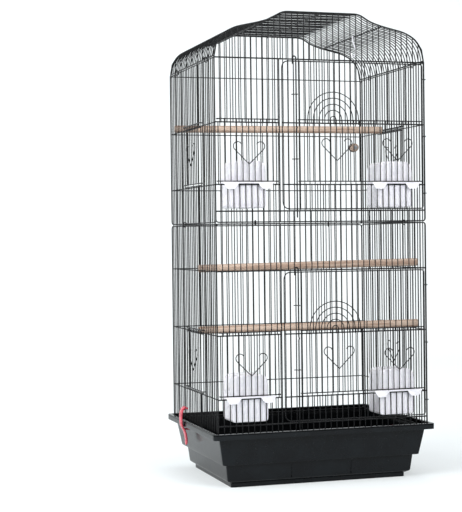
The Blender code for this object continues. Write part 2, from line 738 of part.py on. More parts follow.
def perch(left_end, right_end):
    """Wooden perch, its slotted ends round two side uprights, the low end notched for a level wire."""
    left = Vector((-HALF_W, -HALF_D + SIDE_PITCH * left_end[0], left_end[1]))
    right = Vector((HALF_W, -HALF_D + SIDE_PITCH * right_end[0], right_end[1]))
    along = right - left
    centre = (left + right) / 2
    turn = Matrix.Rotation(atan2(along.y, along.x), 4, "Z")
    reach = along.length / 2 + PERCH
    work = bmesh.new()
    bmesh.ops.create_cone(work, cap_ends=True, segments=16, radius1=PERCH / 2,
                          radius2=PERCH / 2, depth=reach * 2,
                          matrix=along.to_track_quat("Z", "Y").to_matrix().to_4x4())
    rod = bpy.data.meshes.new("perch")
    work.to_mesh(rod)
    work.free()
    deep = along.to_2d().length / 2 - THIN
    flush = HALF_W + FRAME / 2 - CLEAR
    inside = HALF_W - CROSS_REACH - CLEAR
    over_wire = THIN / 2 + CLEAR
    cutters = []
    for side, end in ((-1, left_end), (1, right_end)):
        slot = box((side * deep, -PERCH_SLOT / 2, -PERCH * 2),
                   (side * (reach + THIN), PERCH_SLOT / 2, PERCH * 2))
        slot.transform(turn)
        cutters.append(slot)
        cutters.append(box((side * flush, -HALF_D, -PERCH * 2), (side * CAGE_WIDTH, HALF_D, PERCH * 2)))
        if end[1] < PERCH / 2 + over_wire:
            cutters.append(box((side * inside, -HALF_D, -PERCH * 2),
                               (side * CAGE_WIDTH, HALF_D, over_wire - centre.z)))
    return combined(rod, cutters, "DIFFERENCE"), centre


def turned(profile, segments, closed=False):
    """Solid turned about Y from (radius, y) points; a closed profile leaves a bore."""
    work = bmesh.new()
    verts = [work.verts.new((radius, y, 0)) for radius, y in profile]
    pairs = list(zip(verts, verts[1:])) + ([(verts[-1], verts[0])] if closed else [])
    edges = [work.edges.new(pair) for pair in pairs]
    bmesh.ops.spin(work, geom=verts + edges, cent=(0, 0, 0), axis=(0, 1, 0), angle=2 * pi,
                   steps=segments, use_merge=True)
    bmesh.ops.remove_doubles(work, verts=work.verts, dist=1e-6)
    bmesh.ops.recalc_face_normals(work, faces=work.faces)
    mesh = bpy.data.meshes.new("turned")
    work.to_mesh(mesh)
    work.free()
    return mesh


def stub_and_screw():
    """Short perch inside the back grille and the screw and washer that hold it there."""
    seat = HALF_D - THIN_R / 2 - CLEAR
    face = seat - STUB_LENGTH
    bore = SCREW / 2 + 2 * CLEAR
    wood = turned([(bore, face), (STUB / 2, face), (STUB / 2, seat), (bore, seat)], 16, True)
    washer = HALF_D + THIN_R + CLEAR
    head = face - CLEAR
    screw = turned([(0, head - SCREW / 2), (SCREW_HEAD / 2, head - SCREW / 2),
                    (SCREW_HEAD / 2, head), (SCREW / 2, head), (SCREW / 2, washer),
                    (WASHER / 2, washer), (WASHER / 2, washer + WASHER_THICK),
                    (SCREW_HEAD / 2, washer + WASHER_THICK),
                    (SCREW_HEAD / 2, washer + WASHER_THICK + SCREW),
                    (0, washer + WASHER_THICK + SCREW)], 12)
    return wood, screw


def seam_clip(x, low, high):
    """Wire clip round two frame wires, one above the other, in a grille's own frame."""
    reach = FRAME / 2 + CLEAR + THIN_R
    points = [(x, reach, low - THIN / 2), (x, reach, high + reach), (x, -reach, high + reach),
              (x, -reach, low - reach), (x, THIN / 2, low - reach)]
    return bent([(points, False)], THIN_SECTION, (1, 0, 0))


def strip(points):
    """Bent strip across Y: a line of (x, z) points given the clip's width and thickness."""
    work = bmesh.new()
    rows = [[work.verts.new((x, y, z)) for x, z in points] for y in (-CLIP_WIDTH / 2, CLIP_WIDTH / 2)]
    for k in range(len(points) - 1):
        work.faces.new((rows[0][k], rows[0][k + 1], rows[1][k + 1], rows[1][k]))
    mesh = bpy.data.meshes.new("strip")
    work.to_mesh(mesh)
    work.free()
    sheet = guide("strip", mesh)
    shell = sheet.modifiers.new("shell", "SOLIDIFY")
    shell.thickness = CLIP_THICK
    shell.offset = 0
    shell.use_even_offset = True
    solid = evaluated_mesh(sheet)
    bpy.data.objects.remove(sheet)
    return welded(solid)


def tray_clip():
    """Clip of the left side, its origin on the pivot by the tray's wall."""
    pivot_x, pivot_z = CLIP_PIVOT
    bow = [(-(x - pivot_x), z - pivot_z) for x, z in CLIP_BOW]
    arm = [(0, 0), (pivot_x - CLIP_ROOT, 0)]
    return combined(strip(bow), [strip(arm)])


def hook():
    """Plastic hook hanging from a roof runner, its origin on the runner."""
    ring = THIN_R + CLEAR + HOOK_WIRE / 2 + CLEAR
    points = []
    for k in range(7):
        angle = radians(-45 + 225 * k / 6)
        points.append((ring * cos(angle), 0, ring * sin(angle)))
    points += [(x, 0, z) for x, z in HOOK_BEND]
    curve = bpy.data.curves.new("hook", "CURVE")
    curve.dimensions = "3D"
    curve.bevel_depth = HOOK_WIRE / 2
    curve.bevel_resolution = 0
    curve.use_fill_caps = True
    spline = curve.splines.new("POLY")
    spline.points.add(len(points) - 1)
    for target, place in zip(spline.points, points):
        target.co = (*place, 1)
    obj = guide("hook", curve)
    mesh = evaluated_mesh(obj)
    bpy.data.objects.remove(obj)
    return welded(mesh)


def build():
    """Make every node."""
    black = material("black_wire", "1E2022", 0.42, 0.2)
    mould = material("black_plastic", "24272B", 0.5)
    white = material("white_plastic", "E6E8F2", 0.35)
    wood = material("perch_wood", "A9764F", 0.6)
    red = material("red_plastic", "B3243A", 0.4)
    steel = material("screw_steel", "6E6F70", 0.35, 1.0)

    front = Matrix.Translation((0, -HALF_D, 0))
    back = Matrix.Translation((0, HALF_D, 0)) @ Matrix.Rotation(pi, 4, "Z")
    left = Matrix.Translation((-HALF_W, 0, 0)) @ Matrix.Rotation(-pi / 2, 4, "Z")
    right = Matrix.Translation((HALF_W, 0, 0)) @ Matrix.Rotation(pi / 2, 4, "Z")

    part("tray", tray(), mould)
    part("back_lower", back_lower(), black, back)
    part("back_upper", back_upper(), black, back)
    lower = side_grille(FOOT_WIRE, SEAM, LOW_HATCH_SILL, LOW_HATCH_HEAD, (LOW_DOOR_HEAD,))
    upper = side_grille(UPPER_FOOT, EAVE, HIGH_HATCH_SILL, HIGH_HATCH_HEAD)
    for name, place in (("left", left), ("right", right)):
        part(name + "_lower", lower, black, place)
        part(name + "_upper", upper, black, place)
    part("front_lower", front_lower(), black, front)
    part("front_upper", front_upper(), black, front)
    part("roof", roof(), black)

    hinge = Matrix.Translation((HALF_W, -HALF_D, 0))
    swing = Matrix.Translation((-HALF_W, 0, 0))
    for name, levels, rises in (
            ("lower", (DOOR_SILL, LOW_DOOR_HEAD, LOW_HATCH_SILL, LOW_HATCH_HEAD), LOW_HEART_TIPS),
            ("upper", (HIGH_DOOR_SILL, EAVE, HIGH_HATCH_SILL, HIGH_HATCH_HEAD), HIGH_HEART_TIPS)):
        leaf = door(*levels)
        leaf.transform(swing)
        part("door_" + name, leaf, black, hinge)
        part("latch_rod_" + name, latch_rod(levels[0], levels[1]), black, front)
        columns = (("left", FIXED_EDGES, (-1, 1)),
                   ("middle", HATCH_EDGES[:2], (-1, -1)),
                   ("right", (HATCH_EDGES[2], DOOR_RIGHT - HATCH_INSET), (-1, 0)))
        for (side, edges, curls), gap, rise in zip(columns, HEART_GAPS, rises):
            heart = PITCH * gap - HALF_W
            mesh = hatch(edges[0], edges[1], heart, levels[2], levels[3], rise, PITCH, curls)
            part("hatch_" + name + "_" + side, mesh, black, front)
        first, last = (-HALF_D + SIDE_PITCH * k for k in SIDE_HATCH_GAPS)
        mesh = hatch(first, last, (first + last) / 2, levels[2], levels[3], SIDE_HEART_TIP,
                     SIDE_PITCH)
        part("hatch_" + name + "_left_side", mesh, black, left)
        part("hatch_" + name + "_right_side", mesh, black, right)

    cup = feeder()
    for name, sill in (("lower", LOW_HATCH_SILL), ("upper", HIGH_HATCH_SILL)):
        for side, x in zip(("left", "right"), FEEDER_X):
            part("feeder_" + name + "_" + side, cup, white,
                 Matrix.Translation((x, -HALF_D, sill)))

    for name, ends, height in (("perch_upper", HIGH_PERCH, HIGH_HATCH_HEAD),
                               ("perch_middle", LOW_PERCH, LOW_DOOR_HEAD),
                               ("perch_lower", LOW_PERCH, LOW_HATCH_HEAD)):
        mesh, centre = perch(*ends)
        part(name, mesh, wood, Matrix.Translation(centre + Vector((0, 0, height))))

    stub, screw = stub_and_screw()
    place = Matrix.Translation((PITCH * STUB_GAP - HALF_W, 0, STUB_HEIGHT))
    part("perch_stub", stub, wood, place)
    part("perch_stub_screw", screw, steel, place)

    pivot_x = TRAY_WIDTH / 2 + CLIP_PIVOT[0]
    pivot = Matrix.Translation((-pivot_x, CLIP_Y, CLIP_PIVOT[1]))
    other = Matrix.Translation((pivot_x, CLIP_Y, CLIP_PIVOT[1]))
    clip = tray_clip()
    part("tray_clip_left", clip, red, pivot)
    part("tray_clip_right", clip, red, other @ Matrix.Rotation(pi, 4, "Z"))

    seam_x = PITCH * SEAM_CLIP_GAP - HALF_W
    seam_y = SIDE_PITCH * SIDE_SEAM_CLIP_GAP - HALF_D
    for name, grille, x in (("front", front, seam_x), ("back", back, seam_x),
                            ("left", left, seam_y), ("right", right, seam_y)):
        part("seam_clip_" + name, seam_clip(x, SEAM, UPPER_FOOT), black, grille)
    for name, grille in (("left", left), ("right", right)):
        for number, gap in enumerate(EAVE_CLIP_GAPS, 1):
            x = SIDE_PITCH * gap - HALF_D
            part("eave_clip_{}_{}".format(name, number), seam_clip(x, EAVE, ROOF_FOOT), black, grille)

    drop = THIN / 2 + CLEAR + THIN_R / 2
    runner = ROOF_RUNNERS[0]
    part("swing_hook", hook(), white,
         Matrix.Translation((runner, SIDE_PITCH * HOOK_GAP - HALF_D, roof_height(runner) - drop)))


build()
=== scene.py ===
"""Tall black wire bird cage with an arched roof, dressed for a picture.

The wires are round, drawn steel under a dipped black enamel, spot welded where they cross.
The tray is one black moulding.  The feeders are milky white mouldings, the perches are turned
wood dowels, and two red clips hold the cage on its tray.  Metres, +Z up, front towards -Y.
"""

import bpy
import numpy as np
from mathutils import Matrix


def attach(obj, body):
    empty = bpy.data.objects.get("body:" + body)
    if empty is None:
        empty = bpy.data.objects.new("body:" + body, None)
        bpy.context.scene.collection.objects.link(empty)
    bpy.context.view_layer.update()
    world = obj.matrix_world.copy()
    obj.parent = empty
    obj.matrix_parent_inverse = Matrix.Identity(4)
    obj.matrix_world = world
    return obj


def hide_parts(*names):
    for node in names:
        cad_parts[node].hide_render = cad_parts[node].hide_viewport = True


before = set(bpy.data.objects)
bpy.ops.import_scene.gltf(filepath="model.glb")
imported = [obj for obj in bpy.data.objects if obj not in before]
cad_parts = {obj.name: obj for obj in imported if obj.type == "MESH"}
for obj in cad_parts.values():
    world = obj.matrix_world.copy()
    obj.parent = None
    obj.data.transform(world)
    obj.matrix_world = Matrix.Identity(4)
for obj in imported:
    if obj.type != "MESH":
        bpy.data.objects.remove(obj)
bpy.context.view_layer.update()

# Cage between the middles of its corner posts, and the places of its regular uprights
HALF_W = 0.2175
HALF_D = 0.165
PITCH = 0.435 / 36
SIDE_PITCH = 0.330 / 27
UPRIGHTS = PITCH * np.arange(1, 36) - HALF_W
SIDE_UPRIGHTS = SIDE_PITCH * np.arange(1, 27) - HALF_D

# Wire radii
THIN = 0.0010
SLIM = 0.0009
EDGE = 0.0011
POST = 0.0012
FRAME = 0.0012
HATCH_RAIL = 0.0013
RAIL = 0.0014
ROD = 0.0014

# Bends of the frame wires, and half sizes of the weld beads: across, in depth, in height
FRAME_BEND = 0.006
ROOF_BEND = 0.012
WELD = (0.0013, 0.0011, 0.0013)
RAIL_WELD = (0.0014, 0.0015, 0.0018)
ARCH_WELD = (0.0014, 0.0014, 0.0014)

# Heights of the level wires
FOOT = 0.1034
DOOR_SILL = 0.1240
LOW_SILL = 0.1750
LOW_HEAD = 0.2970
LOW_DOOR_HEAD = 0.4200
SEAM = 0.5105
UPPER_FOOT = 0.5140
HIGH_DOOR_SILL = 0.5350
HIGH_SILL = 0.5860
HIGH_HEAD = 0.7050
EAVE = 0.8280
ROOF_FOOT = 0.8315

# Half of the roof's arch, as (x, height over the eave)
ROOF_HALF = np.array([[0.080, 0.0918], [0.101, 0.0780], [0.126, 0.0700], [0.176, 0.0590],
                      [0.200, 0.0460], [0.213, 0.0260]])

# Roof runners: places across, and how far their middles lie under the arches' middles
RUNNERS = (0.126, 0.0, -0.126)
RUNNER_DROP = 0.0019

# Front, across: middle post, the door's sides and its two stands, the hatches' edges in the
# door and in the fixed part, and the feeders' middles
MID_POST = -0.088
DOOR_LEFT = -0.082
DOOR_RIGHT = 0.21334
DOOR_STANDS = (-0.070, -0.058)
HATCH_EDGES = (-0.046, 0.084, 0.090)
FIXED_EDGES = (-0.2113, -0.0945)
FEEDERS = (-0.15275, 0.15375)

# Least distance of a regular upright to the middle post, and the distances of a side hatch's
# rail to its level wire, of a door's frame to its doorway and of a hinge loop to that frame
POST_GAP = 0.004
RAIL_GAP = 0.0023
DOOR_INSET = 0.0037
HINGE_INSET = 0.030

# Regular uprights of the front beside its middle post: in the fixed part and at the doorway
FIXED = UPRIGHTS[UPRIGHTS < MID_POST - POST_GAP]
BESIDE = UPRIGHTS[UPRIGHTS > MID_POST + POST_GAP]

# Places in pitches from a corner post: the side hatches' edges, the front hearts' middles
SIDE_GAPS = (9, 19)
HEART_GAPS = (5.5, 20.4, 31)

# Heights of the hearts' tips over the hatch sill, the front's from left to right, and the
# heart's half width
LOW_HEART_TIPS = (0.0440, 0.0515, 0.0445)
HIGH_HEART_TIPS = (0.0385, 0.0460, 0.0470)
SIDE_HEART_TIP = 0.0440
HEART_REACH = 0.031

# Heights of a hatch's two level wires over the sill and over the head of its opening
HATCH_OVER_SILL = 0.0062
HATCH_OVER_HEAD = 0.0060

# The door's nested arcs, the latch rod's keepers under the doorway's head, the hinge loops
ARC_MIDDLE = 0.024
ARC_STEP = 0.0118
ARC_SPRING = 0.008
KEEPER_DROPS = (0.068, 0.193)
LOOP_REACH = 0.00386

# Depths of the layers of wire in front of and behind a grille's own plane
CROSS_Y = 0.00146
ROD_Y = -0.0031
KEEPER_Y = -0.0057
HATCH_Y = -0.0030
STAND_Y = -0.0027
HEART_Y = -0.00445

# How far a hatch's bent end and a wire clip reach past the middle of the wire that they hold
CURL = 0.0027
CLASP = 0.0029

# Half width of a side grille and of the roof's length
SIDE_POST = 0.1626

# Tray rim's outer edge from the middle, and the places of the two grooves in its front wall
RIM_W = 0.2295
RIM_D = 0.177
GROOVES = (-0.062, 0.063)

# Extra columns of points, as parts of the front's length, where the moulding has its grooves
GROOVE_COLUMNS = np.concatenate([np.linspace(0.331, 0.343, 12), np.linspace(0.660, 0.672, 12)])

# Depth and height of the red clips' pivots
CLIP_Y = 0.051
CLIP_Z = 0.093

# A grille's own frame to the cage: turn about the vertical, then a shift
FRONT = (0.0, 0.0, -HALF_D)
BACK = (np.pi, 0.0, HALF_D)
LEFT = (-np.pi / 2, -HALF_W, 0.0)
RIGHT = (np.pi / 2, HALF_W, 0.0)
HERE = (0.0, 0.0, 0.0)
SIDES = (("left", LEFT), ("right", RIGHT))

# Facing directions of wires: into a grille, and up
INTO = (0, 1, 0)
UP = (0, 0, 1)


# Shapes: each is a pair of an array of points and a list of faces

def unit(v):
    """Vectors divided by their length."""
    return v / np.maximum(np.linalg.norm(v, axis=-1, keepdims=True), 1e-12)


def angles(count):
    """Evenly spaced angles all the way round a circle."""
    return np.linspace(0, 2 * np.pi, count, endpoint=False)


def circle(middle, r, a):
    """Points at the angles a on a circle: middle + r (cos a, sin a)."""
    return np.asarray(middle) + r * np.stack([np.cos(a), np.sin(a)], -1)


def lattice(rows, columns, close_rows=False, close_columns=True):
    """Faces of a grid of points: each joins point (i, j) to (i+1, j), (i+1, j+1), (i, j+1)."""
    i = np.arange(rows if close_rows else rows - 1)[:, None]
    j = np.arange(columns if close_columns else columns - 1)[None, :]
    i2, j2 = (i + 1) % rows, (j + 1) % columns
    quads = [i * columns + j, i2 * columns + j, i2 * columns + j2, i * columns + j2]
    return np.stack(np.broadcast_arrays(*quads), -1).reshape(-1, 4)


def capped(grid):
    """Closed shape of a grid of rings: the faces between them, and one face over each end."""
    rows, columns = grid.shape[:2]
    last = (rows - 1) * columns
    ends = [list(range(columns)), list(range(last, last + columns))[::-1]]
    return grid.reshape(-1, 3), lattice(rows, columns).tolist() + ends


def join(*shapes):
    """One shape from several, each one's faces counted on from the points before it."""
    points, faces, count = [], [], 0
    for p, f in shapes:
        points.append(p)
        faces += [[k + count for k in face] for face in f]
        count += len(p)
    return np.concatenate(points), faces


def placed(shape, place):
    """A shape turned about the vertical and then shifted: (x cos t - y sin t, x sin t + y cos t)."""
    turn, dx, dy = place
    points, faces = shape
    x, y, z = points.T
    moved = [x * np.cos(turn) - y * np.sin(turn) + dx, x * np.sin(turn) + y * np.cos(turn) + dy, z]
    return np.stack(moved, -1), faces


def rounded(points, radius, steps=6, closed=False):
    """Path with soft corners.

    Round a corner P whose neighbours lie along a and b, the path is the parabola
    (1-s)^2 (P + a t) + 2 s (1-s) P + s^2 (P + b t), with t the radius, or 0.48 of the way
    to the nearer neighbour where that is less.
    """
    p = np.asarray(points, float)
    before, after = np.roll(p, 1, 0) - p, np.roll(p, -1, 0) - p
    reach = np.minimum(np.linalg.norm(before, axis=1), np.linalg.norm(after, axis=1)) * 0.48
    t = np.minimum(reach, radius)
    if not closed:
        t[[0, -1]] = 0
    s = np.linspace(0, 1, steps + 1)[None, :, None]
    a = (p + unit(before) * t[:, None])[:, None]
    b = (p + unit(after) * t[:, None])[:, None]
    arcs = (1 - s) ** 2 * a + 2 * s * (1 - s) * p[:, None] + s ** 2 * b
    if closed:
        return arcs.reshape(-1, p.shape[1])
    return np.concatenate([p[:1], arcs[1:-1].reshape(-1, p.shape[1]), p[-1:]])


def drawn(start, end, rings=9, sway=0.00012):
    """Straight wires as they come from the straightener.

    Between the ends the middle line leaves the straight one sideways by sway * sin(pi s) *
    sin(2 pi (k s + f)), with k and f different for each wire and each direction.
    """
    start, end = np.atleast_2d(start).astype(float), np.atleast_2d(end).astype(float)
    s = np.linspace(0, 1, rings)[None, :, None]
    number = np.arange(len(start))[:, None, None] + start[:, :1, None] * 977
    k = 0.7 + 0.9 * np.modf(np.abs(np.sin(number * np.array([12.99, 78.23, 37.72]))) * 43.7)[0]
    f = np.modf(np.abs(np.sin(number * np.array([39.35, 11.14, 83.16]))) * 57.3)[0]
    along = unit(end - start)[:, None]
    bow = sway * np.sin(np.pi * s) * np.sin(2 * np.pi * (k * s + f))
    bow -= along * (bow * along).sum(-1, keepdims=True)
    return start[:, None] * (1 - s) + end[:, None] * s + bow


def tubes(paths, radius, facing, sides=10, closed=False):
    """Round wires along paths of equal length.

    A ring round path point P is P + r (cos a * across + sin a * up), with across square to
    the path and to the facing direction, and up square to both.  An open wire ends in domes
    of radius r cos b at r sin b past its end.
    """
    p = np.asarray(paths, float)
    if p.ndim == 2:
        p = p[None]
    r = np.full(p.shape[:2], float(radius))
    if closed:
        t = unit(np.roll(p, -1, 1) - np.roll(p, 1, 1))
    else:
        t = unit(np.gradient(p, axis=1))
        b = np.radians([68, 38])
        head = p[:, :1] - t[:, :1] * (radius * np.sin(b))[None, :, None]
        tail = p[:, -1:] + t[:, -1:] * (radius * np.sin(b[::-1]))[None, :, None]
        caps = np.broadcast_to(radius * np.cos(b), (len(p), 2))
        p = np.concatenate([head, p, tail], 1)
        r = np.concatenate([caps, r, caps[:, ::-1]], 1)
        t = np.concatenate([np.repeat(t[:, :1], 2, 1), t, np.repeat(t[:, -1:], 2, 1)], 1)
    across = unit(np.cross(t, np.asarray(facing, float)))
    up = np.cross(across, t)
    a = angles(sides)
    ring = np.cos(a)[:, None] * across[:, :, None] + np.sin(a)[:, None] * up[:, :, None]
    points = p[:, :, None] + r[:, :, None, None] * ring
    wires, rows = p.shape[:2]
    block = lattice(rows, sides, close_rows=closed)
    quads = (block[None] + (np.arange(wires) * rows * sides)[:, None, None]).reshape(-1, 4)
    faces = quads.tolist()
    points = points.reshape(-1, 3)
    if not closed:
        tip = radius * 0.07
        poles = np.stack([p[:, 0] - t[:, 0] * tip, p[:, -1] + t[:, -1] * tip], 1)
        j = np.arange(sides)
        first = (np.arange(wires) * rows * sides)[:, None]
        last = first + (rows - 1) * sides
        pole = len(points) + 2 * np.arange(wires)[:, None]
        ones = np.ones_like(j)[None]
        start = np.stack([pole * ones, first + j, first + (j + 1) % sides], -1)
        end = np.stack([(pole + 1) * ones, last + (j + 1) % sides, last + j], -1)
        faces += start.reshape(-1, 3).tolist() + end.reshape(-1, 3).tolist()
        points = np.concatenate([points, poles.reshape(-1, 3)])
    return points, faces


def beads(centres, size=WELD):
    """Weld beads: small ellipsoids, centre + size * (cos b cos a, cos b sin a, sin b)."""
    c = np.atleast_2d(centres)
    a = angles(6)[None, :]
    b = np.radians([-50, 0, 50])[:, None]
    ball = np.stack([np.cos(b) * np.cos(a), np.cos(b) * np.sin(a), np.sin(b) + 0 * a], -1)
    ball = np.concatenate([ball.reshape(-1, 3), [[0, 0, -1], [0, 0, 1]]]) * np.array(size)
    points = (c[:, None] + ball[None]).reshape(-1, 3)
    j = np.arange(6)
    side = lattice(3, 6)[:, ::-1]
    low = np.stack([0 * j + 18, (j + 1) % 6, j], -1)
    high = np.stack([0 * j + 19, 12 + j, 12 + (j + 1) % 6], -1)
    shift = (np.arange(len(c)) * 20)[:, None, None]
    faces = []
    for block in (side, low, high):
        faces += (block[None] + shift).reshape(-1, block.shape[1]).tolist()
    return points, faces


def crossings(xs, y, zs):
    """Every place (x, y, z) of a row of uprights and a few level wires."""
    x, z = np.meshgrid(xs, zs)
    return np.stack([x.ravel(), np.full(x.size, y), z.ravel()], -1)


def welds(xs, zs):
    """Weld beads where uprights meet or cross level wires in a grille's own plane."""
    return beads(crossings(xs, 0, zs), RAIL_WELD)


def uprights(xs, low, high, y=0.0, radius=THIN):
    """Upright wires at the given places; the ends may differ from wire to wire."""
    xs = np.asarray(xs, float)
    low, high = np.broadcast_to(low, xs.shape), np.broadcast_to(high, xs.shape)
    level = np.full(xs.shape, y)
    paths = drawn(np.stack([xs, level, low], -1), np.stack([xs, level, high], -1))
    return tubes(paths, radius, INTO)


def levels(left, right, zs, y=0.0, radius=THIN):
    """Level wires from left to right at the given heights."""
    zs = np.atleast_1d(zs).astype(float)
    ends = [np.stack([np.full(zs.shape, x), np.full(zs.shape, y), zs], -1) for x in (left, right)]
    return tubes(drawn(*ends), radius, INTO)


def arch(foot):
    """The roof's outline from the left foot over the arch to the right foot."""
    right = ROOF_HALF + [0, EAVE]
    left = right[::-1] * [-1, 1]
    ends = np.array([[-HALF_W, foot], [HALF_W, foot]])
    return np.concatenate([ends[:1], left, right, ends[1:]])


def arch_height(x):
    """Height of the roof's outline over places across the cage."""
    line = rounded(arch(EAVE), ROOF_BEND, 4)
    return np.interp(x, line[:, 0], line[:, 1])


def in_plane(outline, y=0.0):
    """Points (x, z) set into the plane at y."""
    outline = np.asarray(outline, float)
    return np.stack([outline[:, 0], np.full(len(outline), y), outline[:, 1]], -1)


def frame_wire(half, low, high, radius=FRAME):
    """Frame wire bent round a flat grille."""
    corners = [(-half, low), (half, low), (half, high), (-half, high)]
    path = rounded(corners, FRAME_BEND, 8, True)
    return tubes(in_plane(path)[::-1], radius, INTO, 12, True)


def gable_wire():
    """Frame wire bent up both posts and over the roof's outline."""
    top = rounded(arch(EAVE)[1:-1], ROOF_BEND, 6)
    foot = rounded([(HALF_W, EAVE), (HALF_W, UPPER_FOOT), (-HALF_W, UPPER_FOOT), (-HALF_W, EAVE)],
                   FRAME_BEND, 8)
    path = np.concatenate([top, foot])
    return tubes(in_plane(path)[::-1], FRAME, INTO, 12, True)


# Finishes

def colour(text):
    """Linear colour of an sRGB hex code: (v + 0.055) / 1.055 to the power 2.4 over 0.04045."""
    v = np.array([int(text[k:k + 2], 16) for k in (0, 2, 4)]) / 255
    linear = np.where(v <= 0.04045, v / 12.92, ((v + 0.055) / 1.055) ** 2.4)
    return (*linear, 1.0)


def fill(tree, node, sockets):
    """Values of a node's sockets: numbers and colours are set, another node's output is linked."""
    for name, value in sockets.items():
        if isinstance(value, bpy.types.NodeSocket):
            tree.links.new(value, node.inputs[name])
        else:
            node.inputs[name].default_value = value


def add(tree, kind, sockets=None, **settings):
    """A new node with its settings and the values of its sockets."""
    made = tree.nodes.new(kind)
    for name, value in settings.items():
        setattr(made, name, value)
    fill(tree, made, sockets or {})
    return made


def finish(name, look):
    """A new material; its look makes the nodes in its tree and gives the shader's values."""
    made = bpy.data.materials.new(name)
    made.use_nodes = True
    tree = made.node_tree
    tree.nodes.clear()
    shader = add(tree, "ShaderNodeBsdfPrincipled")
    add(tree, "ShaderNodeOutputMaterial", {"Surface": shader.outputs["BSDF"]})
    fill(tree, shader, look(tree))
    return made


def places(tree):
    """Places in the piece's own metres."""
    return add(tree, "ShaderNodeTexCoord").outputs["Object"]


def noise(tree, place, scale, detail, **more):
    """Noise over places; its clouds are about 1 / scale metres across."""
    return add(tree, "ShaderNodeTexNoise",
               {"Vector": place, "Scale": scale, "Detail": detail, **more}).outputs["Fac"]


def ramp(tree, value, stops):
    """Colour ramp over a value, from (position, colour) stops."""
    made = add(tree, "ShaderNodeValToRGB", {"Fac": value})
    marks = made.color_ramp.elements
    while len(marks) < len(stops):
        marks.new(0.5)
    for mark, (place, tone) in zip(marks, stops):
        mark.position = place
        mark.color = tone
    return made.outputs["Color"]


def tones(tree, value, low, high, start=0.3, stop=0.7):
    """Ramp from one hex colour to another over a value."""
    return ramp(tree, value, [(start, colour(low)), (stop, colour(high))])


def grey(value):
    """A grey level as a colour."""
    return (value, value, value, 1.0)


def greys(tree, value, low, high, start=0.3, stop=0.7):
    """Ramp from one grey level to another over a value."""
    return ramp(tree, value, [(start, grey(low)), (stop, grey(high))])


def mixed(tree, factor, a, b):
    """Colour a part of the way from a to b."""
    return add(tree, "ShaderNodeMix", {"Factor": factor, "A": a, "B": b},
               data_type="RGBA").outputs["Result"]


def maths(tree, operation, a, b):
    """One step of arithmetic on two values."""
    return add(tree, "ShaderNodeMath", {0: a, 1: b}, operation=operation).outputs[0]


def part_of(tree, vector, axis):
    """One part of a vector."""
    return add(tree, "ShaderNodeSeparateXYZ", {"Vector": vector}).outputs[axis]


def relief(tree, height, strength, distance):
    """Bump of a height, with the distance in metres."""
    return add(tree, "ShaderNodeBump", {"Height": height, "Strength": strength,
                                        "Distance": distance}).outputs["Normal"]


def dipped_enamel(tree):
    """Black enamel dipped over drawn steel wire.

    The coat is a few tenths of a millimetre thick and runs a little before it dries, so the
    gloss breaks in soft waves 4 mm apart, with a fine orange peel of 0.7 mm over them.
    """
    place = places(tree)
    runs = noise(tree, place, 250.0, 2.0)
    peel = noise(tree, place, 1400.0, 1.0)
    coat = maths(tree, "ADD", maths(tree, "MULTIPLY", runs, 0.7), peel)
    return {"Base Color": tones(tree, runs, "070809", "0F1012"),
            "Roughness": greys(tree, peel, 0.27, 0.38),
            "Normal": relief(tree, coat, 0.25, 0.0002),
            "IOR": 1.5, "Specular IOR Level": 0.16}


def moulded_black(tree):
    """Black polypropylene moulding from a spark-eroded tool.

    The tool leaves a fine grain of about 0.5 mm that scatters the gloss, the melt leaves faint
    flow clouds some 40 mm across, and handling leaves a few paler, duller patches 11 mm across.
    The faces that look up below the rim's top are the tray's inside: there a painted shade
    gives them a deeper black and a much weaker gloss, for the shade that falls into the tray.
    """
    place = places(tree)
    grain = noise(tree, place, 1900.0, 2.0)
    flow = noise(tree, place, 25.0, 3.0)
    rubbed = noise(tree, place, 90.0, 6.0, Roughness=0.7)
    dust = greys(tree, rubbed, 0.0, 0.35, 0.62, 0.8)
    worn = mixed(tree, dust, tones(tree, flow, "080A0D", "0F1316"), colour("1D2125"))
    facing = add(tree, "ShaderNodeNewGeometry").outputs["Normal"]
    rises = maths(tree, "GREATER_THAN", part_of(tree, facing, "Z"), 0.05)
    below_rim = maths(tree, "LESS_THAN", part_of(tree, place, "Z"), 0.109)
    # Mask of the tray's inside faces, where the painted shade is laid
    inside = maths(tree, "MULTIPLY", rises, below_rim)
    # Painted shade: the inside turns near-black (030405) and its specular level drops from 0.17 to
    # 0.02
    return {"Base Color": mixed(tree, inside, worn, colour("030405")),
            "Roughness": greys(tree, rubbed, 0.15, 0.24),
            "Specular IOR Level": greys(tree, inside, 0.17, 0.02, 0.0, 1.0),
            "Normal": relief(tree, grain, 0.2, 0.0001), "IOR": 1.49}


def milky_polystyrene(tree):
    """Milky white polystyrene, polished by its tool.

    Light goes some millimetres into the wall, so edges and thin parts glow, and weld lines
    from the mould show as very faint cooler clouds about 15 mm across.
    """
    cloud = noise(tree, places(tree), 65.0, 3.0)
    return {"Base Color": tones(tree, cloud, "F4F0FB", "FCF8FF"),
            "Roughness": greys(tree, cloud, 0.24, 0.34),
            "Normal": relief(tree, cloud, 0.15, 0.0005),
            "IOR": 1.57, "Subsurface Weight": 0.6,
            "Subsurface Radius": (1.0, 0.97, 0.95), "Subsurface Scale": 0.012}


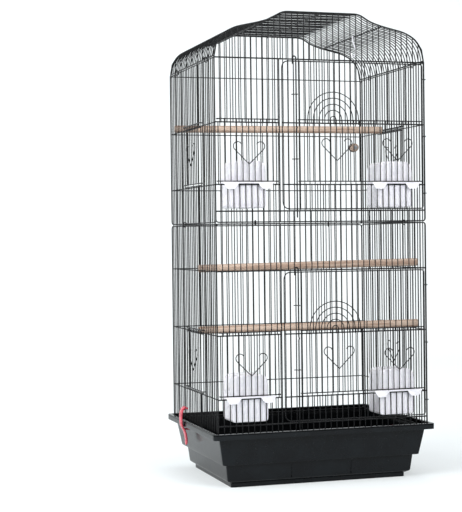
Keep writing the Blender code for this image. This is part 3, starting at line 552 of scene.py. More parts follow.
def turned_dowel(tree):
    """Turned softwood dowel, sanded and bare.

    The grain runs along the dowel: growth rings drawn out along it, with fine fibres of
    0.4 mm between them and brown knots some 20 mm apart.  Read from the dowel's own frame,
    whose first direction runs along it.
    """
    own = add(tree, "ShaderNodeAttribute", attribute_name="own_frame").outputs["Vector"]
    drawn_out = add(tree, "ShaderNodeMapping",
                    {"Vector": own, "Scale": (0.06, 1.0, 1.0)}).outputs["Vector"]
    rings = add(tree, "ShaderNodeTexWave", {"Vector": drawn_out, "Scale": 75.0, "Distortion": 6.0,
                                            "Detail": 3.0, "Detail Scale": 1.5},
                wave_type="BANDS", bands_direction="Y").outputs["Fac"]
    fibres = noise(tree, drawn_out, 2600.0, 3.0)
    knots = noise(tree, own, 45.0, 2.0)
    grain = mixed(tree, 0.35, tones(tree, rings, "967B69", "BFAB9A", 0.1, 0.9),
                  tones(tree, fibres, "806452", "C4B0A1", 0.35, 0.65))
    spots = greys(tree, knots, 0.0, 0.55, 0.60, 0.74)
    return {"Base Color": mixed(tree, spots, grain, colour("83583F")),
            "Normal": relief(tree, fibres, 0.4, 0.00015), "Roughness": 0.62}


def glossy_red(tree):
    """Red polypropylene clip, glossy from a polished tool, with soft sink marks 8 mm across."""
    sink = noise(tree, places(tree), 120.0, 2.0)
    return {"Base Color": tones(tree, sink, "A3283A", "BE3F50"),
            "Roughness": greys(tree, sink, 0.20, 0.32),
            "Normal": relief(tree, sink, 0.2, 0.0004),
            "Subsurface Weight": 0.1, "Subsurface Scale": 0.003}


def zinc_screw(tree):
    """Zinc plated steel screw and washer, its plating broken up in fine specks of 0.4 mm."""
    specks = noise(tree, places(tree), 2500.0, 1.0)
    return {"Base Color": tones(tree, specks, "84868A", "A4A6A8"),
            "Roughness": greys(tree, specks, 0.28, 0.42), "Metallic": 1.0}


ENAMEL = finish("black_dipped_enamel", dipped_enamel)
MOULDED = finish("black_moulded_polypropylene", moulded_black)
MILKY = finish("milky_white_polystyrene", milky_polystyrene)
DOWEL = finish("sanded_wood_dowel", turned_dowel)
RED = finish("red_moulded_polypropylene", glossy_red)
ZINC = finish("zinc_plated_steel", zinc_screw)


def piece(name, shape, material, body, slot, *nodes, own=None, edge=40):
    """A finished piece: its mesh and finish, the body that it rides on, and what it replaces."""
    points, faces = shape
    mesh = bpy.data.meshes.new(name)
    mesh.from_pydata(points.tolist(), [], faces)
    mesh.validate()
    mesh.materials.append(material)
    if own is not None:
        layer = mesh.attributes.new("own_frame", "FLOAT_VECTOR", "POINT")
        layer.data.foreach_set("vector", np.asarray(own, np.float32).ravel())
    mesh.shade_smooth()
    mesh.set_sharp_from_angle(angle=np.radians(edge))
    obj = bpy.data.objects.new(name, mesh)
    bpy.context.scene.collection.objects.link(obj)
    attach(obj, body)
    if nodes:
        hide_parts(*nodes)


def wires(name, parts, place, body, *nodes):
    """A piece of enamelled wire made of several shapes in a grille's own frame."""
    piece(name, placed(join(*parts), place), ENAMEL, body, "black_wire", *nodes)


# Grilles

def back_grilles():
    """Two back grilles: uprights in the frame's plane and level wires welded on their inside."""
    xs = UPRIGHTS
    low_levels = (LOW_SILL, LOW_HEAD, LOW_DOOR_HEAD)
    wires("back_lower_wires",
          [frame_wire(HALF_W, FOOT, SEAM), uprights(xs, FOOT, SEAM),
           levels(-HALF_W, HALF_W, low_levels, CROSS_Y),
           beads(crossings(xs, CROSS_Y / 2, low_levels)),
           welds(xs, (FOOT, SEAM))],
          BACK, "cage", "back_lower")
    high_levels = (HIGH_SILL, HIGH_HEAD, EAVE)
    tops = arch_height(xs)
    wires("back_upper_wires",
          [gable_wire(), uprights(xs, UPPER_FOOT, tops),
           levels(-HALF_W, HALF_W, high_levels, CROSS_Y),
           beads(crossings(xs, CROSS_Y / 2, high_levels)),
           welds(xs, (UPPER_FOOT,)), beads(np.stack([xs, 0 * xs, tops], -1), ARCH_WELD)],
          BACK, "cage", "back_upper")


def side_grille(low, high, sill, head, more=()):
    """Side grille, with a hatch opening between its two short rails."""
    first, last = SIDE_GAPS
    xs = SIDE_UPRIGHTS
    number = np.arange(1, 27)
    open_ones = (number > first) & (number < last)
    rails = np.array([sill + RAIL_GAP, head - RAIL_GAP])
    past = 0.002
    left, right = xs[first - 1] - past, xs[last - 1] + past
    heights = (sill, head) + tuple(more)
    crossed = [crossings(xs, CROSS_Y / 2, heights), crossings(xs[open_ones], 0, rails)]
    return [frame_wire(SIDE_POST, low, high, THIN), uprights(xs[~open_ones], low, high),
            uprights(xs[open_ones], low, rails[0]), uprights(xs[open_ones], rails[1], high),
            levels(left, right, rails, 0.0, EDGE), levels(-SIDE_POST, SIDE_POST, heights, CROSS_Y),
            beads(np.concatenate(crossed)), welds(xs, (low, high))]


def side_grilles():
    """The four side grilles."""
    lower = side_grille(FOOT, SEAM, LOW_SILL, LOW_HEAD, (LOW_DOOR_HEAD,))
    upper = side_grille(UPPER_FOOT, EAVE, HIGH_SILL, HIGH_HEAD)
    for side, place in SIDES:
        wires(side + "_lower_wires", lower, place, "cage", side + "_lower")
        wires(side + "_upper_wires", upper, place, "cage", side + "_upper")


def front_grille(foot, top, sill, head, across, loop):
    """Front grille: the fixed part at its left, the doorway at its right, rails across both."""
    return [loop, uprights([MID_POST], foot, top, 0, POST),
            levels(-HALF_W, MID_POST, (sill, head), 0, HATCH_RAIL),
            levels(-HALF_W, HALF_W, across, 0, RAIL),
            uprights(FIXED, foot, sill), uprights(FIXED, head, top),
            uprights(FIXED_EDGES, sill, head), uprights(BESIDE, foot, across[0]),
            welds(FIXED, (foot, sill, head, top) + across), welds(BESIDE, (foot, across[0]))]


def front_grilles():
    """The two front grilles; the upper one runs up into the gable over its eave rail."""
    parts = front_grille(FOOT, SEAM, LOW_SILL, LOW_HEAD, (DOOR_SILL, LOW_DOOR_HEAD),
                         frame_wire(HALF_W, FOOT, SEAM))
    parts += [uprights(BESIDE, LOW_DOOR_HEAD, SEAM), welds(BESIDE, (LOW_DOOR_HEAD, SEAM))]
    wires("front_lower_wires", parts, FRONT, "cage", "front_lower")
    parts = front_grille(UPPER_FOOT, EAVE, HIGH_SILL, HIGH_HEAD, (HIGH_DOOR_SILL, EAVE),
                         gable_wire())
    xs = UPRIGHTS
    tops = arch_height(xs)
    parts += [uprights(xs, EAVE, tops), welds(xs, (EAVE,)),
              beads(np.stack([xs, 0 * xs, tops], -1), ARCH_WELD)]
    wires("front_upper_wires", parts, FRONT, "cage", "front_upper")


def roof_wires():
    """Roof: thin arches side by side, frame arches at both ends, level feet, runners under all."""
    outline = rounded(arch(ROOF_FOOT), ROOF_BEND, 6)
    ys = SIDE_UPRIGHTS
    sway = 0.00025 * np.sin(np.arange(len(ys)) * 2.4)
    paths = np.stack([in_plane(outline, y) + [0, 0, d] for y, d in zip(ys, sway)])
    ends = np.stack([in_plane(outline, y) for y in (-SIDE_POST, SIDE_POST)])
    xs = np.array(RUNNERS)
    heights = arch_height(xs) - RUNNER_DROP
    start = np.stack([xs, 0 * xs - SIDE_POST, heights], -1)
    stop = start + [0, 2 * SIDE_POST, 0]
    feet = np.array([[-HALF_W, -SIDE_POST, ROOF_FOOT], [HALF_W, -SIDE_POST, ROOF_FOOT]])
    x, y = np.meshgrid(xs, ys)
    crossed = np.stack([x.ravel(), y.ravel(), arch_height(x.ravel()) - RUNNER_DROP / 2], -1)
    foot_x, foot_y = np.meshgrid([-HALF_W, HALF_W], ys)
    sunk = np.stack([foot_x.ravel(), foot_y.ravel(), np.full(foot_x.size, ROOF_FOOT)], -1)
    wires("roof_wires",
          [tubes(paths, THIN, INTO, 8), tubes(ends, FRAME, INTO, 12),
           tubes(drawn(start, stop), ROD, UP),
           tubes(drawn(feet, feet + [0, 2 * SIDE_POST, 0]), RAIL, UP),
           beads(crossed), beads(sunk, (0.0017, 0.0014, 0.0016))],
          HERE, "cage", "roof")


# Doors

def door_wires(sill, head, hatch_sill, hatch_head):
    """A door: frame, two hatch rails, uprights, nested arcs, rod keepers and hinge loops."""
    low, high = sill + DOOR_INSET, head - DOOR_INSET
    corners = [(DOOR_LEFT, low), (DOOR_RIGHT, low), (DOOR_RIGHT, high), (DOOR_LEFT, high)]
    wide, tight = 0.015, 0.006
    outline = rounded(corners, np.array([wide, tight, tight, wide]), 10, True)
    left, middle, right = HATCH_EDGES
    split = np.concatenate([np.linspace(left, middle, 12)[1:-1],
                            np.linspace(right, DOOR_RIGHT, 11)[1:-1]])
    whole = np.array(DOOR_STANDS + HATCH_EDGES)
    parts = [tubes(in_plane(outline)[::-1], EDGE, INTO, 12, True),
             levels(DOOR_LEFT, DOOR_RIGHT, (hatch_sill, hatch_head), 0, HATCH_RAIL),
             uprights(whole, low, high), uprights(split, low, hatch_sill),
             uprights(split, hatch_head, high),
             welds(whole, (low, hatch_sill, hatch_head, high)),
             welds(split, (low, hatch_sill, hatch_head, high))]
    a = np.pi * (1 - np.linspace(0, 1, 25))
    for ring in range(5):
        r = ARC_STEP * (ring + 0.5)
        over = circle((ARC_MIDDLE, hatch_head + ARC_SPRING), r, a)
        legs = np.array([[ARC_MIDDLE - r, hatch_head], [ARC_MIDDLE + r, hatch_head]])
        path = np.concatenate([legs[:1], over, legs[1:]])
        parts += [tubes(in_plane(path, CROSS_Y), SLIM, INTO),
                  beads(in_plane(legs, CROSS_Y * 0.6), (0.0019, 0.0019, 0.0022))]
    stand = DOOR_STANDS[1]
    for z in (head - drop for drop in KEEPER_DROPS):
        bow = rounded([(stand - 0.005, -0.0016), (stand, -0.0017), (-0.0566, KEEPER_Y),
                       (-0.0514, KEEPER_Y), (-0.0514, -0.0022)], 0.0012, 5)
        parts += [tubes(np.insert(bow, 2, z, 1), SLIM, UP),
                  beads([[stand, -0.0012, z]])]
    loop = circle((HALF_W, 0), LOOP_REACH, np.radians(180 + 110 * np.linspace(0, 1, 13)))
    for z in (low + HINGE_INSET, (low + high) / 2, high - HINGE_INSET):
        parts.append(tubes(np.insert(loop, 2, z, 1), THIN, UP))
    return parts


def latch_wires(sill, head):
    """Latch rod: straight with a small kink, its top turned over to the left as a finger hook."""
    x, top, kink = -0.0540, head + 0.0055, head - 0.132
    half_kink, turn = 0.0028, 0.0035
    bow = [(x, sill - 0.012), (x, kink - half_kink), (x + 0.0014, kink), (x, kink + half_kink),
           (x, top - turn)]
    a = np.linspace(0, np.pi, 11)[1:]
    crook = circle((x - turn, top - turn), turn, a)
    path = np.concatenate([rounded(bow, 0.002, 4), crook, [(x - 2 * turn, top - 0.014)]])
    return [tubes(in_plane(path, ROD_Y), ROD, INTO)]


def heart():
    """Open heart, tip down: a lobe's circle, the tangent to the tip, and the mirror of both.

    The lobe's centre C is at (23, 34.5) mm with a radius of 8.5 mm, and the side leaves it
    at the angle atan2(C) - asin(8.5 / |C|) - 90 degrees.
    """
    cx, cz, r = 0.0230, 0.0345, 0.0085
    start = np.arctan2(cz, cx) - np.arcsin(r / np.hypot(cx, cz)) - np.pi / 2
    right = circle((cx, cz), r, np.linspace(start, np.radians(150), 22))
    side = np.linspace(0.1, 0.9, 4)[:, None] * right[:1]
    half = np.concatenate([side, right])
    return np.concatenate([half[::-1] * [-1, 1], [[0, 0]], half])


def curl(x, side, end, z):
    """Path of a hatch wire's end, bent back round the upright at x, or straight for side 0."""
    if side == 0:
        return np.array([(x, HATCH_Y, z)])
    corners = [(x + side * CURL - end * 0.0022, HATCH_Y, z), (x + side * CURL, HATCH_Y, z),
               (x + side * CURL, CURL, z), (x - side * 0.001, CURL, z)]
    return rounded(corners, 0.0018, 5)


def hatch_wires(left, right, middle, sill, head, tip, pitch, curls=(-1, 1)):
    """Sliding hatch: two level wires that hug the uprights beside it, uprights and a heart."""
    low, high = sill + HATCH_OVER_SILL, head + HATCH_OVER_HEAD
    first = int(np.ceil((left - middle) / pitch + 0.3))
    last = int(np.floor((right - middle) / pitch - 0.3))
    xs = middle + pitch * np.arange(first, last + 1)
    parts = [uprights(xs, low, high, STAND_Y),
             beads(crossings(xs, HATCH_Y, (low, high)), (0.0013, 0.0013, 0.0015))]
    for z in (low, high):
        path = np.concatenate([curl(left, curls[0], -1, z)[::-1], curl(right, curls[1], 1, z)])
        parts.append(tubes(path, EDGE, UP))
    shape = heart() + [middle, sill + tip]
    touch = xs[np.abs(xs - middle) < HEART_REACH]
    # The heart's right half, from its tip to about where it is widest
    outwards = shape[len(shape) // 2:][:12] - [middle, 0]
    heights = np.interp(np.abs(touch - middle), *outwards.T)
    parts += [tubes(in_plane(shape, HEART_Y), SLIM, INTO),
              beads(np.stack([touch, 0 * touch + (HEART_Y + STAND_Y) / 2, heights], -1),
                    (0.0008, 0.0012, 0.0008))]
    return parts


def doors_and_hatches():
    """Both doors with their latch rods, and every hatch of the front and of the sides."""
    rows = (("lower", DOOR_SILL, LOW_DOOR_HEAD, LOW_SILL, LOW_HEAD, LOW_HEART_TIPS),
            ("upper", HIGH_DOOR_SILL, EAVE, HIGH_SILL, HIGH_HEAD, HIGH_HEART_TIPS))
    for name, sill, head, low, high, tips in rows:
        wires(f"door_{name}_wires", door_wires(sill, head, low, high), FRONT, name + "_door",
              "door_" + name)
        wires(f"latch_{name}_wire", latch_wires(sill, head), FRONT, name + "_latch",
              "latch_rod_" + name)
        columns = (("left", FIXED_EDGES, (-1, 1)), ("middle", HATCH_EDGES[:2], (-1, -1)),
                   ("right", (HATCH_EDGES[2], DOOR_RIGHT - 0.0035), (-1, 0)))
        for (side, edges, curls), gap, tip in zip(columns, HEART_GAPS, tips):
            wires(f"hatch_{name}_{side}_wires",
                  hatch_wires(*edges, PITCH * gap - HALF_W, low, high, tip, PITCH, curls), FRONT,
                  f"{name}_{side}_hatch", f"hatch_{name}_{side}")
        left, right = (-HALF_D + SIDE_PITCH * k for k in SIDE_GAPS)
        for side, place in SIDES:
            wires(f"hatch_{name}_{side}_side_wires",
                  hatch_wires(left, right, (left + right) / 2, low, high, SIDE_HEART_TIP, SIDE_PITCH),
                  place, f"{name}_{side}_side_hatch", f"hatch_{name}_{side}_side")


# Clips of wire round the joints of the grilles

def clip(x, low, high):
    """Bent wire in a grille's own frame: up the inside, over, and down the outside."""
    corners = [(x, CLASP, low - 0.001), (x, CLASP, high + CLASP), (x, -CLASP, high + CLASP),
               (x, -CLASP, low - CLASP), (x, 0.001, low - CLASP)]
    return [tubes(rounded(corners, 0.0026, 6), THIN, (1, 0, 0))]


def wire_clips():
    """Clips that hold one frame wire on the other: four at the seam and four at the eaves."""
    for side, place, x in (("front", FRONT, -0.1389), ("back", BACK, -0.1389),
                           ("left", LEFT, -0.0611), ("right", RIGHT, -0.0611)):
        wires("seam_wire_" + side, clip(x, SEAM, UPPER_FOOT), place, "cage", "seam_clip_" + side)
    for side, place in SIDES:
        for number, gap in ((1, 4.5), (2, 22.5)):
            wires(f"eave_wire_{side}_{number}", clip(SIDE_PITCH * gap - HALF_D, EAVE, ROOF_FOOT),
                  place, "cage", f"eave_clip_{side}_{number}")


# Tray

def tray_shape():
    """Moulded tray: a rounded profile of (inset, height) carried round the rim's plan.

    The plan at an inset is a rectangle with corner arcs; the front also has extra columns of
    points, so that the grooves of the moulding can be pressed into it.
    """
    profile = np.array([(0.0510, 0.0125), (0.0510, 0.0), (0.0470, 0.0), (0.0470, 0.0080),
                        (0.0375, 0.0130), (0.0335, 0.0465), (0.0245, 0.0465), (0.0150, 0.0990),
                        (0.0, 0.0990), (0.0, 0.1105), (0.0075, 0.1105), (0.0075, 0.1015),
                        (0.0175, 0.1015), (0.0275, 0.0495), (0.0365, 0.0495), (0.0405, 0.0155)])
    soft = np.array([0, 0.0006, 0.0006, 0.0006, 0.0025, 0.0012, 0.0018, 0.0018, 0.0008, 0.0012,
                     0.0010, 0.0008, 0.0012, 0.0020, 0.0015, 0])
    line = rounded(profile, soft, 4)
    cut = np.linalg.norm(np.diff(line, axis=0), axis=1)
    parts = np.maximum((cut / 0.006).astype(int), 1)
    line = np.concatenate([line[k] + (line[k + 1] - line[k]) * (np.arange(n) / n)[:, None]
                           for k, n in enumerate(parts)] + [line[-1:]])
    inset, height = line[:, 0][:, None], line[:, 1][:, None]
    half_w, half_d = RIM_W - inset, RIM_D - inset
    corner = np.maximum(0.008 - inset / 2, 0.004)

    def arc(sx, sy, a):
        """Points at the angles a round the corner on the sides of the signs sx and sy."""
        return np.stack([sx * (half_w - corner) + corner * np.cos(a),
                         sy * (half_d - corner) + corner * np.sin(a), height + 0 * a], -1)

    corners = ((1, -1), (1, 1), (-1, 1), (-1, -1))
    columns = []
    for k, here in enumerate(corners):
        there = corners[(k + 1) % 4]
        a = -np.pi / 2 + np.pi / 2 * (k + np.linspace(0, 1, 9))
        bend = arc(*here, a)
        t = np.linspace(0, 1, 40)[1:-1]
        if here == (-1, -1):
            t = np.union1d(t, GROOVE_COLUMNS)
        t = t[None, :, None]
        columns += [bend, bend[:, -1:] * (1 - t) + arc(*there, a[-1:]) * t]
    return np.concatenate(columns, 1)


def pressed(grid):
    """Marks in the moulding: two shallow upright grooves low in the outside of the front wall.

    A groove pushes points in by 1.4 mm * (1 - (d / 1.4 mm)^2) at d from its middle line.
    """
    x, y, z = grid[..., 0], grid[..., 1], grid[..., 2]
    depth, half = 0.0014, 0.0014
    outer = np.arange(len(grid))[:, None] < len(grid) // 2
    for middle in GROOVES:
        near = np.clip(1 - ((x - middle) / half) ** 2, 0, 1)
        low = outer & (y < -0.130) & (z > 0.015) & (z < 0.044)
        grid[..., 1] = y = np.where(low, y + depth * near, y)
    return grid


def tray():
    """The tray's wall, floor and underside as one closed moulding, its faces turned outwards."""
    points, faces = capped(pressed(tray_shape()))
    faces = [face[::-1] for face in faces]
    piece("tray_moulding", (points, faces), MOULDED, "cage", "black_plastic", "tray", edge=50)


# Feeders

def outline_inset(outline, depth):
    """A closed outline moved inwards by a depth, along the mean of its two edge normals."""
    p = np.asarray(outline, float)
    t = unit(np.roll(p, -1, 0) - np.roll(p, 1, 0))
    normal = np.stack([-t[:, 1], t[:, 0]], -1)
    return p + normal * depth


def slab(outline, y0, y1, edge=0.0005):
    """Flat moulding with eased edges: an outline of (x, z) points carried from y0 to y1."""
    p = np.asarray(outline, float)
    area = (p[:, 0] * np.roll(p[:, 1], -1) - np.roll(p[:, 0], -1) * p[:, 1]).sum()
    if area < 0:
        p = p[::-1]
    steps = [(edge, y0), (edge * 0.3, y0 + edge * 0.3), (0.0, y0 + edge),
             (0.0, y1 - edge), (edge * 0.3, y1 - edge * 0.3), (edge, y1)]
    return capped(np.stack([in_plane(outline_inset(p, depth), y) for depth, y in steps]))


def cup_outline(half, bottom, shoulder, top, corner, count=20):
    """Feeder's outline: rounded bottom corners, straight sides and a flat, round-shouldered top.

    The top is a superellipse: over the angle b, x = half cos(b)^0.38 and z = shoulder +
    (top - shoulder) sin(b)^0.38.
    """
    a = np.pi + np.pi / 2 * np.linspace(0, 1, 7)
    low_left = circle((corner - half, corner + bottom), corner, a)
    low_right = (low_left * [-1, 1])[::-1]
    b = np.pi / 2 * np.linspace(0, 1, count) ** 1.8
    b = np.concatenate([b, np.pi - b[:-1][::-1]])
    across = np.sign(np.cos(b)) * np.abs(np.cos(b)) ** 0.38
    over = np.stack([half * across, shoulder + (top - shoulder) * np.abs(np.sin(b)) ** 0.38], -1)
    return np.concatenate([low_left, low_right, over])


def feeder_shape():
    """Feeder in its own frame, the origin on the hatch sill's middle line.

    Shell: the outline, carried as rings from the middle of its front face outwards, round a
    2.2 mm edge and back to its open rear, then inside again at the wall's thickness.  A rear
    wall closes its lower half, a plate lies on the sill, and the lip with its two tabs hangs
    in front of the wires.
    """
    front, back, wall, round_ = 0.0019, 0.0568, 0.0016, 0.0022
    outline = cup_outline(0.0370, -0.045, 0.0048, 0.046, 0.007)
    centre = np.array([0.0, 0.003])
    a = np.linspace(0, np.pi / 2, 6)
    face = outline_inset(outline, round_) - centre
    rings = [in_plane(centre + face * f, front) for f in (0.0, 0.35, 0.7)]
    inner = round_ - wall
    steps = [(round_ * (1 - np.sin(b)), front + round_ * (1 - np.cos(b))) for b in a]
    steps += [(0, y) for y in np.linspace(front + round_, back, 6)[1:]]
    steps += [(wall / 2, back + wall * 0.4)]
    steps += [(wall, y) for y in np.linspace(back, front + round_, 6)]
    steps += [(wall + inner * (1 - np.cos(b)), front + wall + inner * (1 - np.sin(b)))
              for b in a[1:]]
    rings += [in_plane(outline_inset(outline, depth), y) for depth, y in steps]
    rings += [in_plane(centre + face * f, front + wall) for f in (0.6, 0.0)]
    shell = np.concatenate(rings), lattice(len(rings), len(outline)).tolist()
    low = cup_outline(0.0363, -0.0443, -0.0021, -0.002, 0.0064, 5)
    rear = slab(low, back - wall, back, 0.0006)
    tab = np.array([(0.0515, 0.0048), (0.0430, -0.0085), (0.0280, -0.0085), (0.0195, 0.0018)])
    lip = np.concatenate([tab, tab[::-1] * [-1, 1]])
    plate = [(-0.0355, 0.0018), (0.0355, 0.0018), (0.0355, 0.0048), (-0.0355, 0.0048)]
    return join(shell, rear, slab(rounded(lip, 0.0012, 4, True), -0.0068, -0.0044),
                slab(rounded(plate, 0.0006, 3, True), -0.0055, front + 0.001))


def feeders():
    """Four feeders: the left pair hangs in the fixed grille, the right pair in the doors."""
    points, faces = feeder_shape()
    for name, z in (("lower", LOW_SILL), ("upper", HIGH_SILL)):
        for side, x, body in zip(("left", "right"), FEEDERS, ("cage", name + "_door")):
            piece(f"feeder_{name}_{side}_shell", (points + [x, -HALF_D, z], faces), MILKY, body,
                  "white_plastic", f"feeder_{name}_{side}")


# Perches

def dowel(start, end, radius, name, node):
    """Turned dowel between two points, its ends eased over 1.2 mm, with faint flats and waves.

    The radius is r (0.98 + 0.012 sin(3 a + 5 s) + 0.008 sin(40 s)) over the angle a and the
    part s of the length.  The frame of the grain is shifted by 31 mm for each letter of the
    name, so that not every dowel shows the same grain.
    """
    start, end, eased = np.array(start, float), np.array(end, float), 0.0012
    length = np.linalg.norm(end - start)
    along = (end - start) / length
    side = unit(np.cross(along, [0, 0, 1]))
    up = np.cross(side, along)
    s = np.concatenate([[0, 0, eased * 0.3, eased], np.linspace(eased, length - eased, 60)[1:-1],
                        [length - eased, length - eased * 0.3, length, length]])
    r = np.full(len(s), radius)
    r[[0, -1]] = 0.0002
    r[[1, -2]] = radius - eased
    r[[2, -3]] = radius - eased * 0.35
    a = angles(32)[None, :]
    part = (s / length)[:, None]
    reach = r[:, None] * (0.98 + 0.012 * np.sin(3 * a + 5 * part) + 0.008 * np.sin(40 * part))
    across, rise = reach * np.cos(a), reach * np.sin(a)
    grid = start + s[:, None, None] * along + across[..., None] * side + rise[..., None] * up
    own = np.stack([s[:, None] + 0 * a, across, rise], -1).reshape(-1, 3)
    piece(name, capped(grid), DOWEL, "cage", "perch_wood", node,
          own=own + [0, 0.031 * len(name), 0.017])


def perches():
    """Three long perches askew between the side grilles, and a stub screwed to the back."""
    radius, slack = 0.00775, 0.0016
    # Each end, the left one first: its place in side pitches, its height over the level wire
    for node, level, (gap, rise), (gap2, rise2) in (
            ("perch_upper", HIGH_HEAD, (25, 0.0105), (17, 0.0056)),
            ("perch_middle", LOW_DOOR_HEAD, (11, 0.0036), (3, 0.0113)),
            ("perch_lower", LOW_HEAD, (11, 0.0036), (3, 0.0113))):
        start = np.array([-HALF_W, -HALF_D + SIDE_PITCH * gap, level + rise])
        end = np.array([HALF_W, -HALF_D + SIDE_PITCH * gap2, level + rise2])
        along = unit(end - start)
        dowel(start + along * slack, end - along * slack, radius, node + "_dowel", node)
    x, z = PITCH * 34.5 - HALF_W, 0.681
    dowel((x, 0.1523, z), (x, 0.1641, z), 0.009, "perch_stub_dowel", "perch_stub")
    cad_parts["perch_stub_screw"].material_slots[0].material = ZINC


# Red tray clips

def ribbon(path, thick, wide):
    """Rounded strip along a path in a plane across Y, drawn in at both ends.

    A ring round a path point is P + h sgn(cos a) |cos a|^0.6 * out + w sgn(sin a) |sin a|^0.6
    * y, with the half thickness h in the path's plane and the half width w along Y.
    """
    p = np.asarray(path, float)
    t = unit(np.gradient(p, axis=0))
    out = unit(np.cross(t, [0, 1, 0]))
    drawn_in = np.ones((len(p), 1, 1))
    drawn_in[[0, -1]] = 0.55
    a = angles(16)
    cos, sin = (np.sign(v) * np.abs(v) ** 0.6 for v in (np.cos(a), np.sin(a)))
    ring = (cos[:, None] * thick * out[:, None]
            + sin[:, None] * np.asarray(wide)[:, None, None] * np.array([0, 1, 0]))
    return capped(p[:, None] + ring * drawn_in)


def tray_clips():
    """Glossy red clips: a hooked bow outside the tray, knots on it, and a stub in the wall."""
    bow = np.array([(0.2216, 0.1335), (0.2220, 0.1366), (0.2262, 0.1383), (0.2316, 0.1325),
                    (0.2338, 0.1220), (0.2338, 0.1090), (0.2330, 0.1015), (0.2292, 0.0940),
                    (0.2254, 0.0870), (0.2238, 0.0790), (0.2226, 0.0700), (0.2232, 0.0610)])
    line = rounded(bow, 0.006, 6)
    path = in_plane(line * [-1, 1], CLIP_Y)
    s = np.linspace(0, 1, len(path))
    arm = np.linspace((-0.2287, CLIP_Y, CLIP_Z), (-0.2150, CLIP_Y, CLIP_Z), 6)
    knots = ((0.1010, (0.0026, 0.0104, 0.0034)), (0.0850, (0.0026, 0.0092, 0.0026)))
    for side, flip in (("left", 1), ("right", -1)):
        parts = [ribbon(path * [flip, 1, 1], 0.0020, 0.0098 - 0.0034 * s * s)]
        for height, size in knots:
            x = -np.interp(height, line[::-1, 1], line[::-1, 0])
            parts.append(beads([[x * flip, CLIP_Y, height]], size))
        parts.append(tubes(arm * [flip, 1, 1], 0.0019, UP, 12))
        piece(f"tray_clip_{side}_bow", join(*parts), RED, side + "_clip", "red_plastic",
              "tray_clip_" + side)


# Swing hook

def swing_hook():
    """White S-hook: its top curled round a roof runner, its foot bent to the side."""
    x, y, z = 0.126, SIDE_PITCH * 11.5 - HALF_D, float(arch_height(0.126)) - RUNNER_DROP
    curl_over = circle((0, 0), 0.0026, np.radians(np.linspace(-45, 180, 14)))
    tail = np.array([(-0.0022, -0.009), (0.0008, -0.017), (0.0045, -0.026), (0.0045, -0.034),
                     (0.0005, -0.0405), (-0.0045, -0.0395), (-0.0060, -0.0340)])
    path = np.concatenate([curl_over, rounded(np.concatenate([curl_over[-1:], tail]), 0.005, 6)[1:]])
    shape = tubes(in_plane(path) + [x, y, z], 0.0014, INTO, 12)
    piece("swing_hook_wire", shape, MILKY, "hook", "white_plastic", "swing_hook")


# Stage

def glowing_paper(tree):
    """Pale paper that glows a little where it is seen, directly or in a gloss.

    The glow grows from 0.32 at the cage to 0.56 at 2.5 m behind it, and lights nothing.
    """
    behind = maths(tree, "MULTIPLY", part_of(tree, places(tree), "Y"), 0.4)
    strength = ramp(tree, behind, [(0.04, grey(0.32)), (0.6, grey(0.49)), (1.0, grey(0.56))])
    ray = add(tree, "ShaderNodeLightPath").outputs
    seen = maths(tree, "MAXIMUM", ray["Is Camera Ray"], ray["Is Transmission Ray"])
    shown = maths(tree, "MAXIMUM", seen, ray["Is Glossy Ray"])
    return {"Base Color": colour("C4CACC"), "Roughness": 0.9, "Emission Color": colour("FDFEFC"),
            "Emission Strength": maths(tree, "MULTIPLY", shown, strength)}


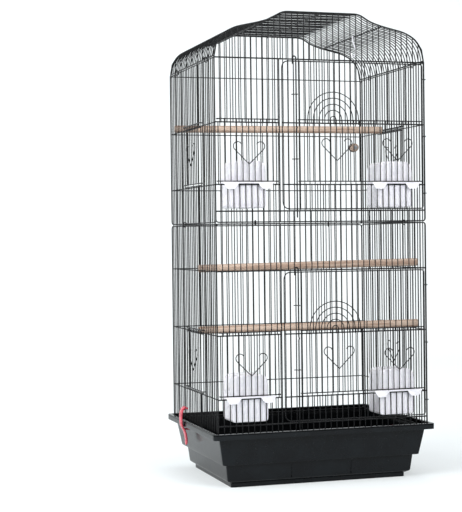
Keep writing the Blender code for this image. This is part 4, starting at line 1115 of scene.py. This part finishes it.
def stage():
    """Pale floor that runs up into a pale backdrop, a pale surround and three soft lamps."""
    bend_at, rise = 2.2, 1.2
    a = np.linspace(0, np.pi / 2, 25)[1:]
    bend = np.stack([bend_at + rise * np.sin(a), rise * (1 - np.cos(a))], -1)
    line = np.concatenate([[[-6.0, 0.0], [bend_at, 0.0]], bend, [[bend_at + rise, 6.0]]])
    grid = np.stack([np.insert(line, 0, x, 1) for x in (-9.0, 9.0)], 1)
    mesh = bpy.data.meshes.new("backdrop")
    mesh.from_pydata(grid.reshape(-1, 3).tolist(), [],
                     lattice(len(line), 2, close_columns=False)[:, ::-1].tolist())
    mesh.shade_smooth()
    mesh.materials.append(finish("backdrop_paper", glowing_paper))
    obj = bpy.data.objects.new("backdrop", mesh)
    bpy.context.scene.collection.objects.link(obj)

    world = bpy.data.worlds.new("surround")
    world.use_nodes = True
    fill(world.node_tree, world.node_tree.nodes["Background"],
         {"Color": colour("F4F6FA"), "Strength": 0.62})
    bpy.context.scene.world = world

    # Places and aims in metres, sizes in metres, power in watts
    for name, place, aim, size, power in (
            ("left_softbox", (-2.3, -0.9, 1.3), (0, 0, 0.3), 1.6, 86.0),
            ("front_softbox", (0.9, -3.0, 2.0), (0, 0, 0.45), 1.8, 72.0),
            ("top_softbox", (0.2, 0.6, 2.6), (0, 0, 0.4), 1.5, 18.0)):
        data = bpy.data.lights.new(name, "AREA")
        data.size = size
        data.energy = power
        lamp = bpy.data.objects.new(name, data)
        lamp.location = place
        look = np.array(aim, float) - place
        lamp.rotation_euler = (np.arccos(-look[2] / np.linalg.norm(look)), 0,
                               np.arctan2(look[1], look[0]) - np.pi / 2)
        bpy.context.scene.collection.objects.link(lamp)


def camera():
    """Long lens a little to the left of the cage and just over its middle, level but for a hair.

    Its axes: forward from the turn and the tilt, right square to it and level, then both
    right and up turned about forward by the roll.
    """
    turn, tilt, roll = np.radians([17.11, -0.71, -0.68])
    ahead = np.array([np.sin(turn) * np.cos(tilt), np.cos(turn) * np.cos(tilt), np.sin(tilt)])
    right = np.array([np.cos(turn), -np.sin(turn), 0])
    up = np.cross(right, ahead)
    axes = np.cos(roll) * right + np.sin(roll) * up, np.cos(roll) * up - np.sin(roll) * right, -ahead
    data = bpy.data.cameras.new("camera")
    data.lens = 96.55
    data.sensor_width = 36.0
    data.clip_end = 60.0
    obj = bpy.data.objects.new("camera", data)
    matrix = np.eye(4)
    matrix[:3, :3] = np.stack(axes, 1)
    matrix[:3, 3] = (-0.959, -2.668, 0.482)
    obj.matrix_world = Matrix(matrix.tolist())
    bpy.context.scene.collection.objects.link(obj)
    bpy.context.scene.camera = obj


bpy.context.scene.view_settings.view_transform = "Standard"
camera()
stage()
back_grilles()
side_grilles()
front_grilles()
roof_wires()
doors_and_hatches()
wire_clips()
tray()
feeders()
perches()
tray_clips()
swing_hook()
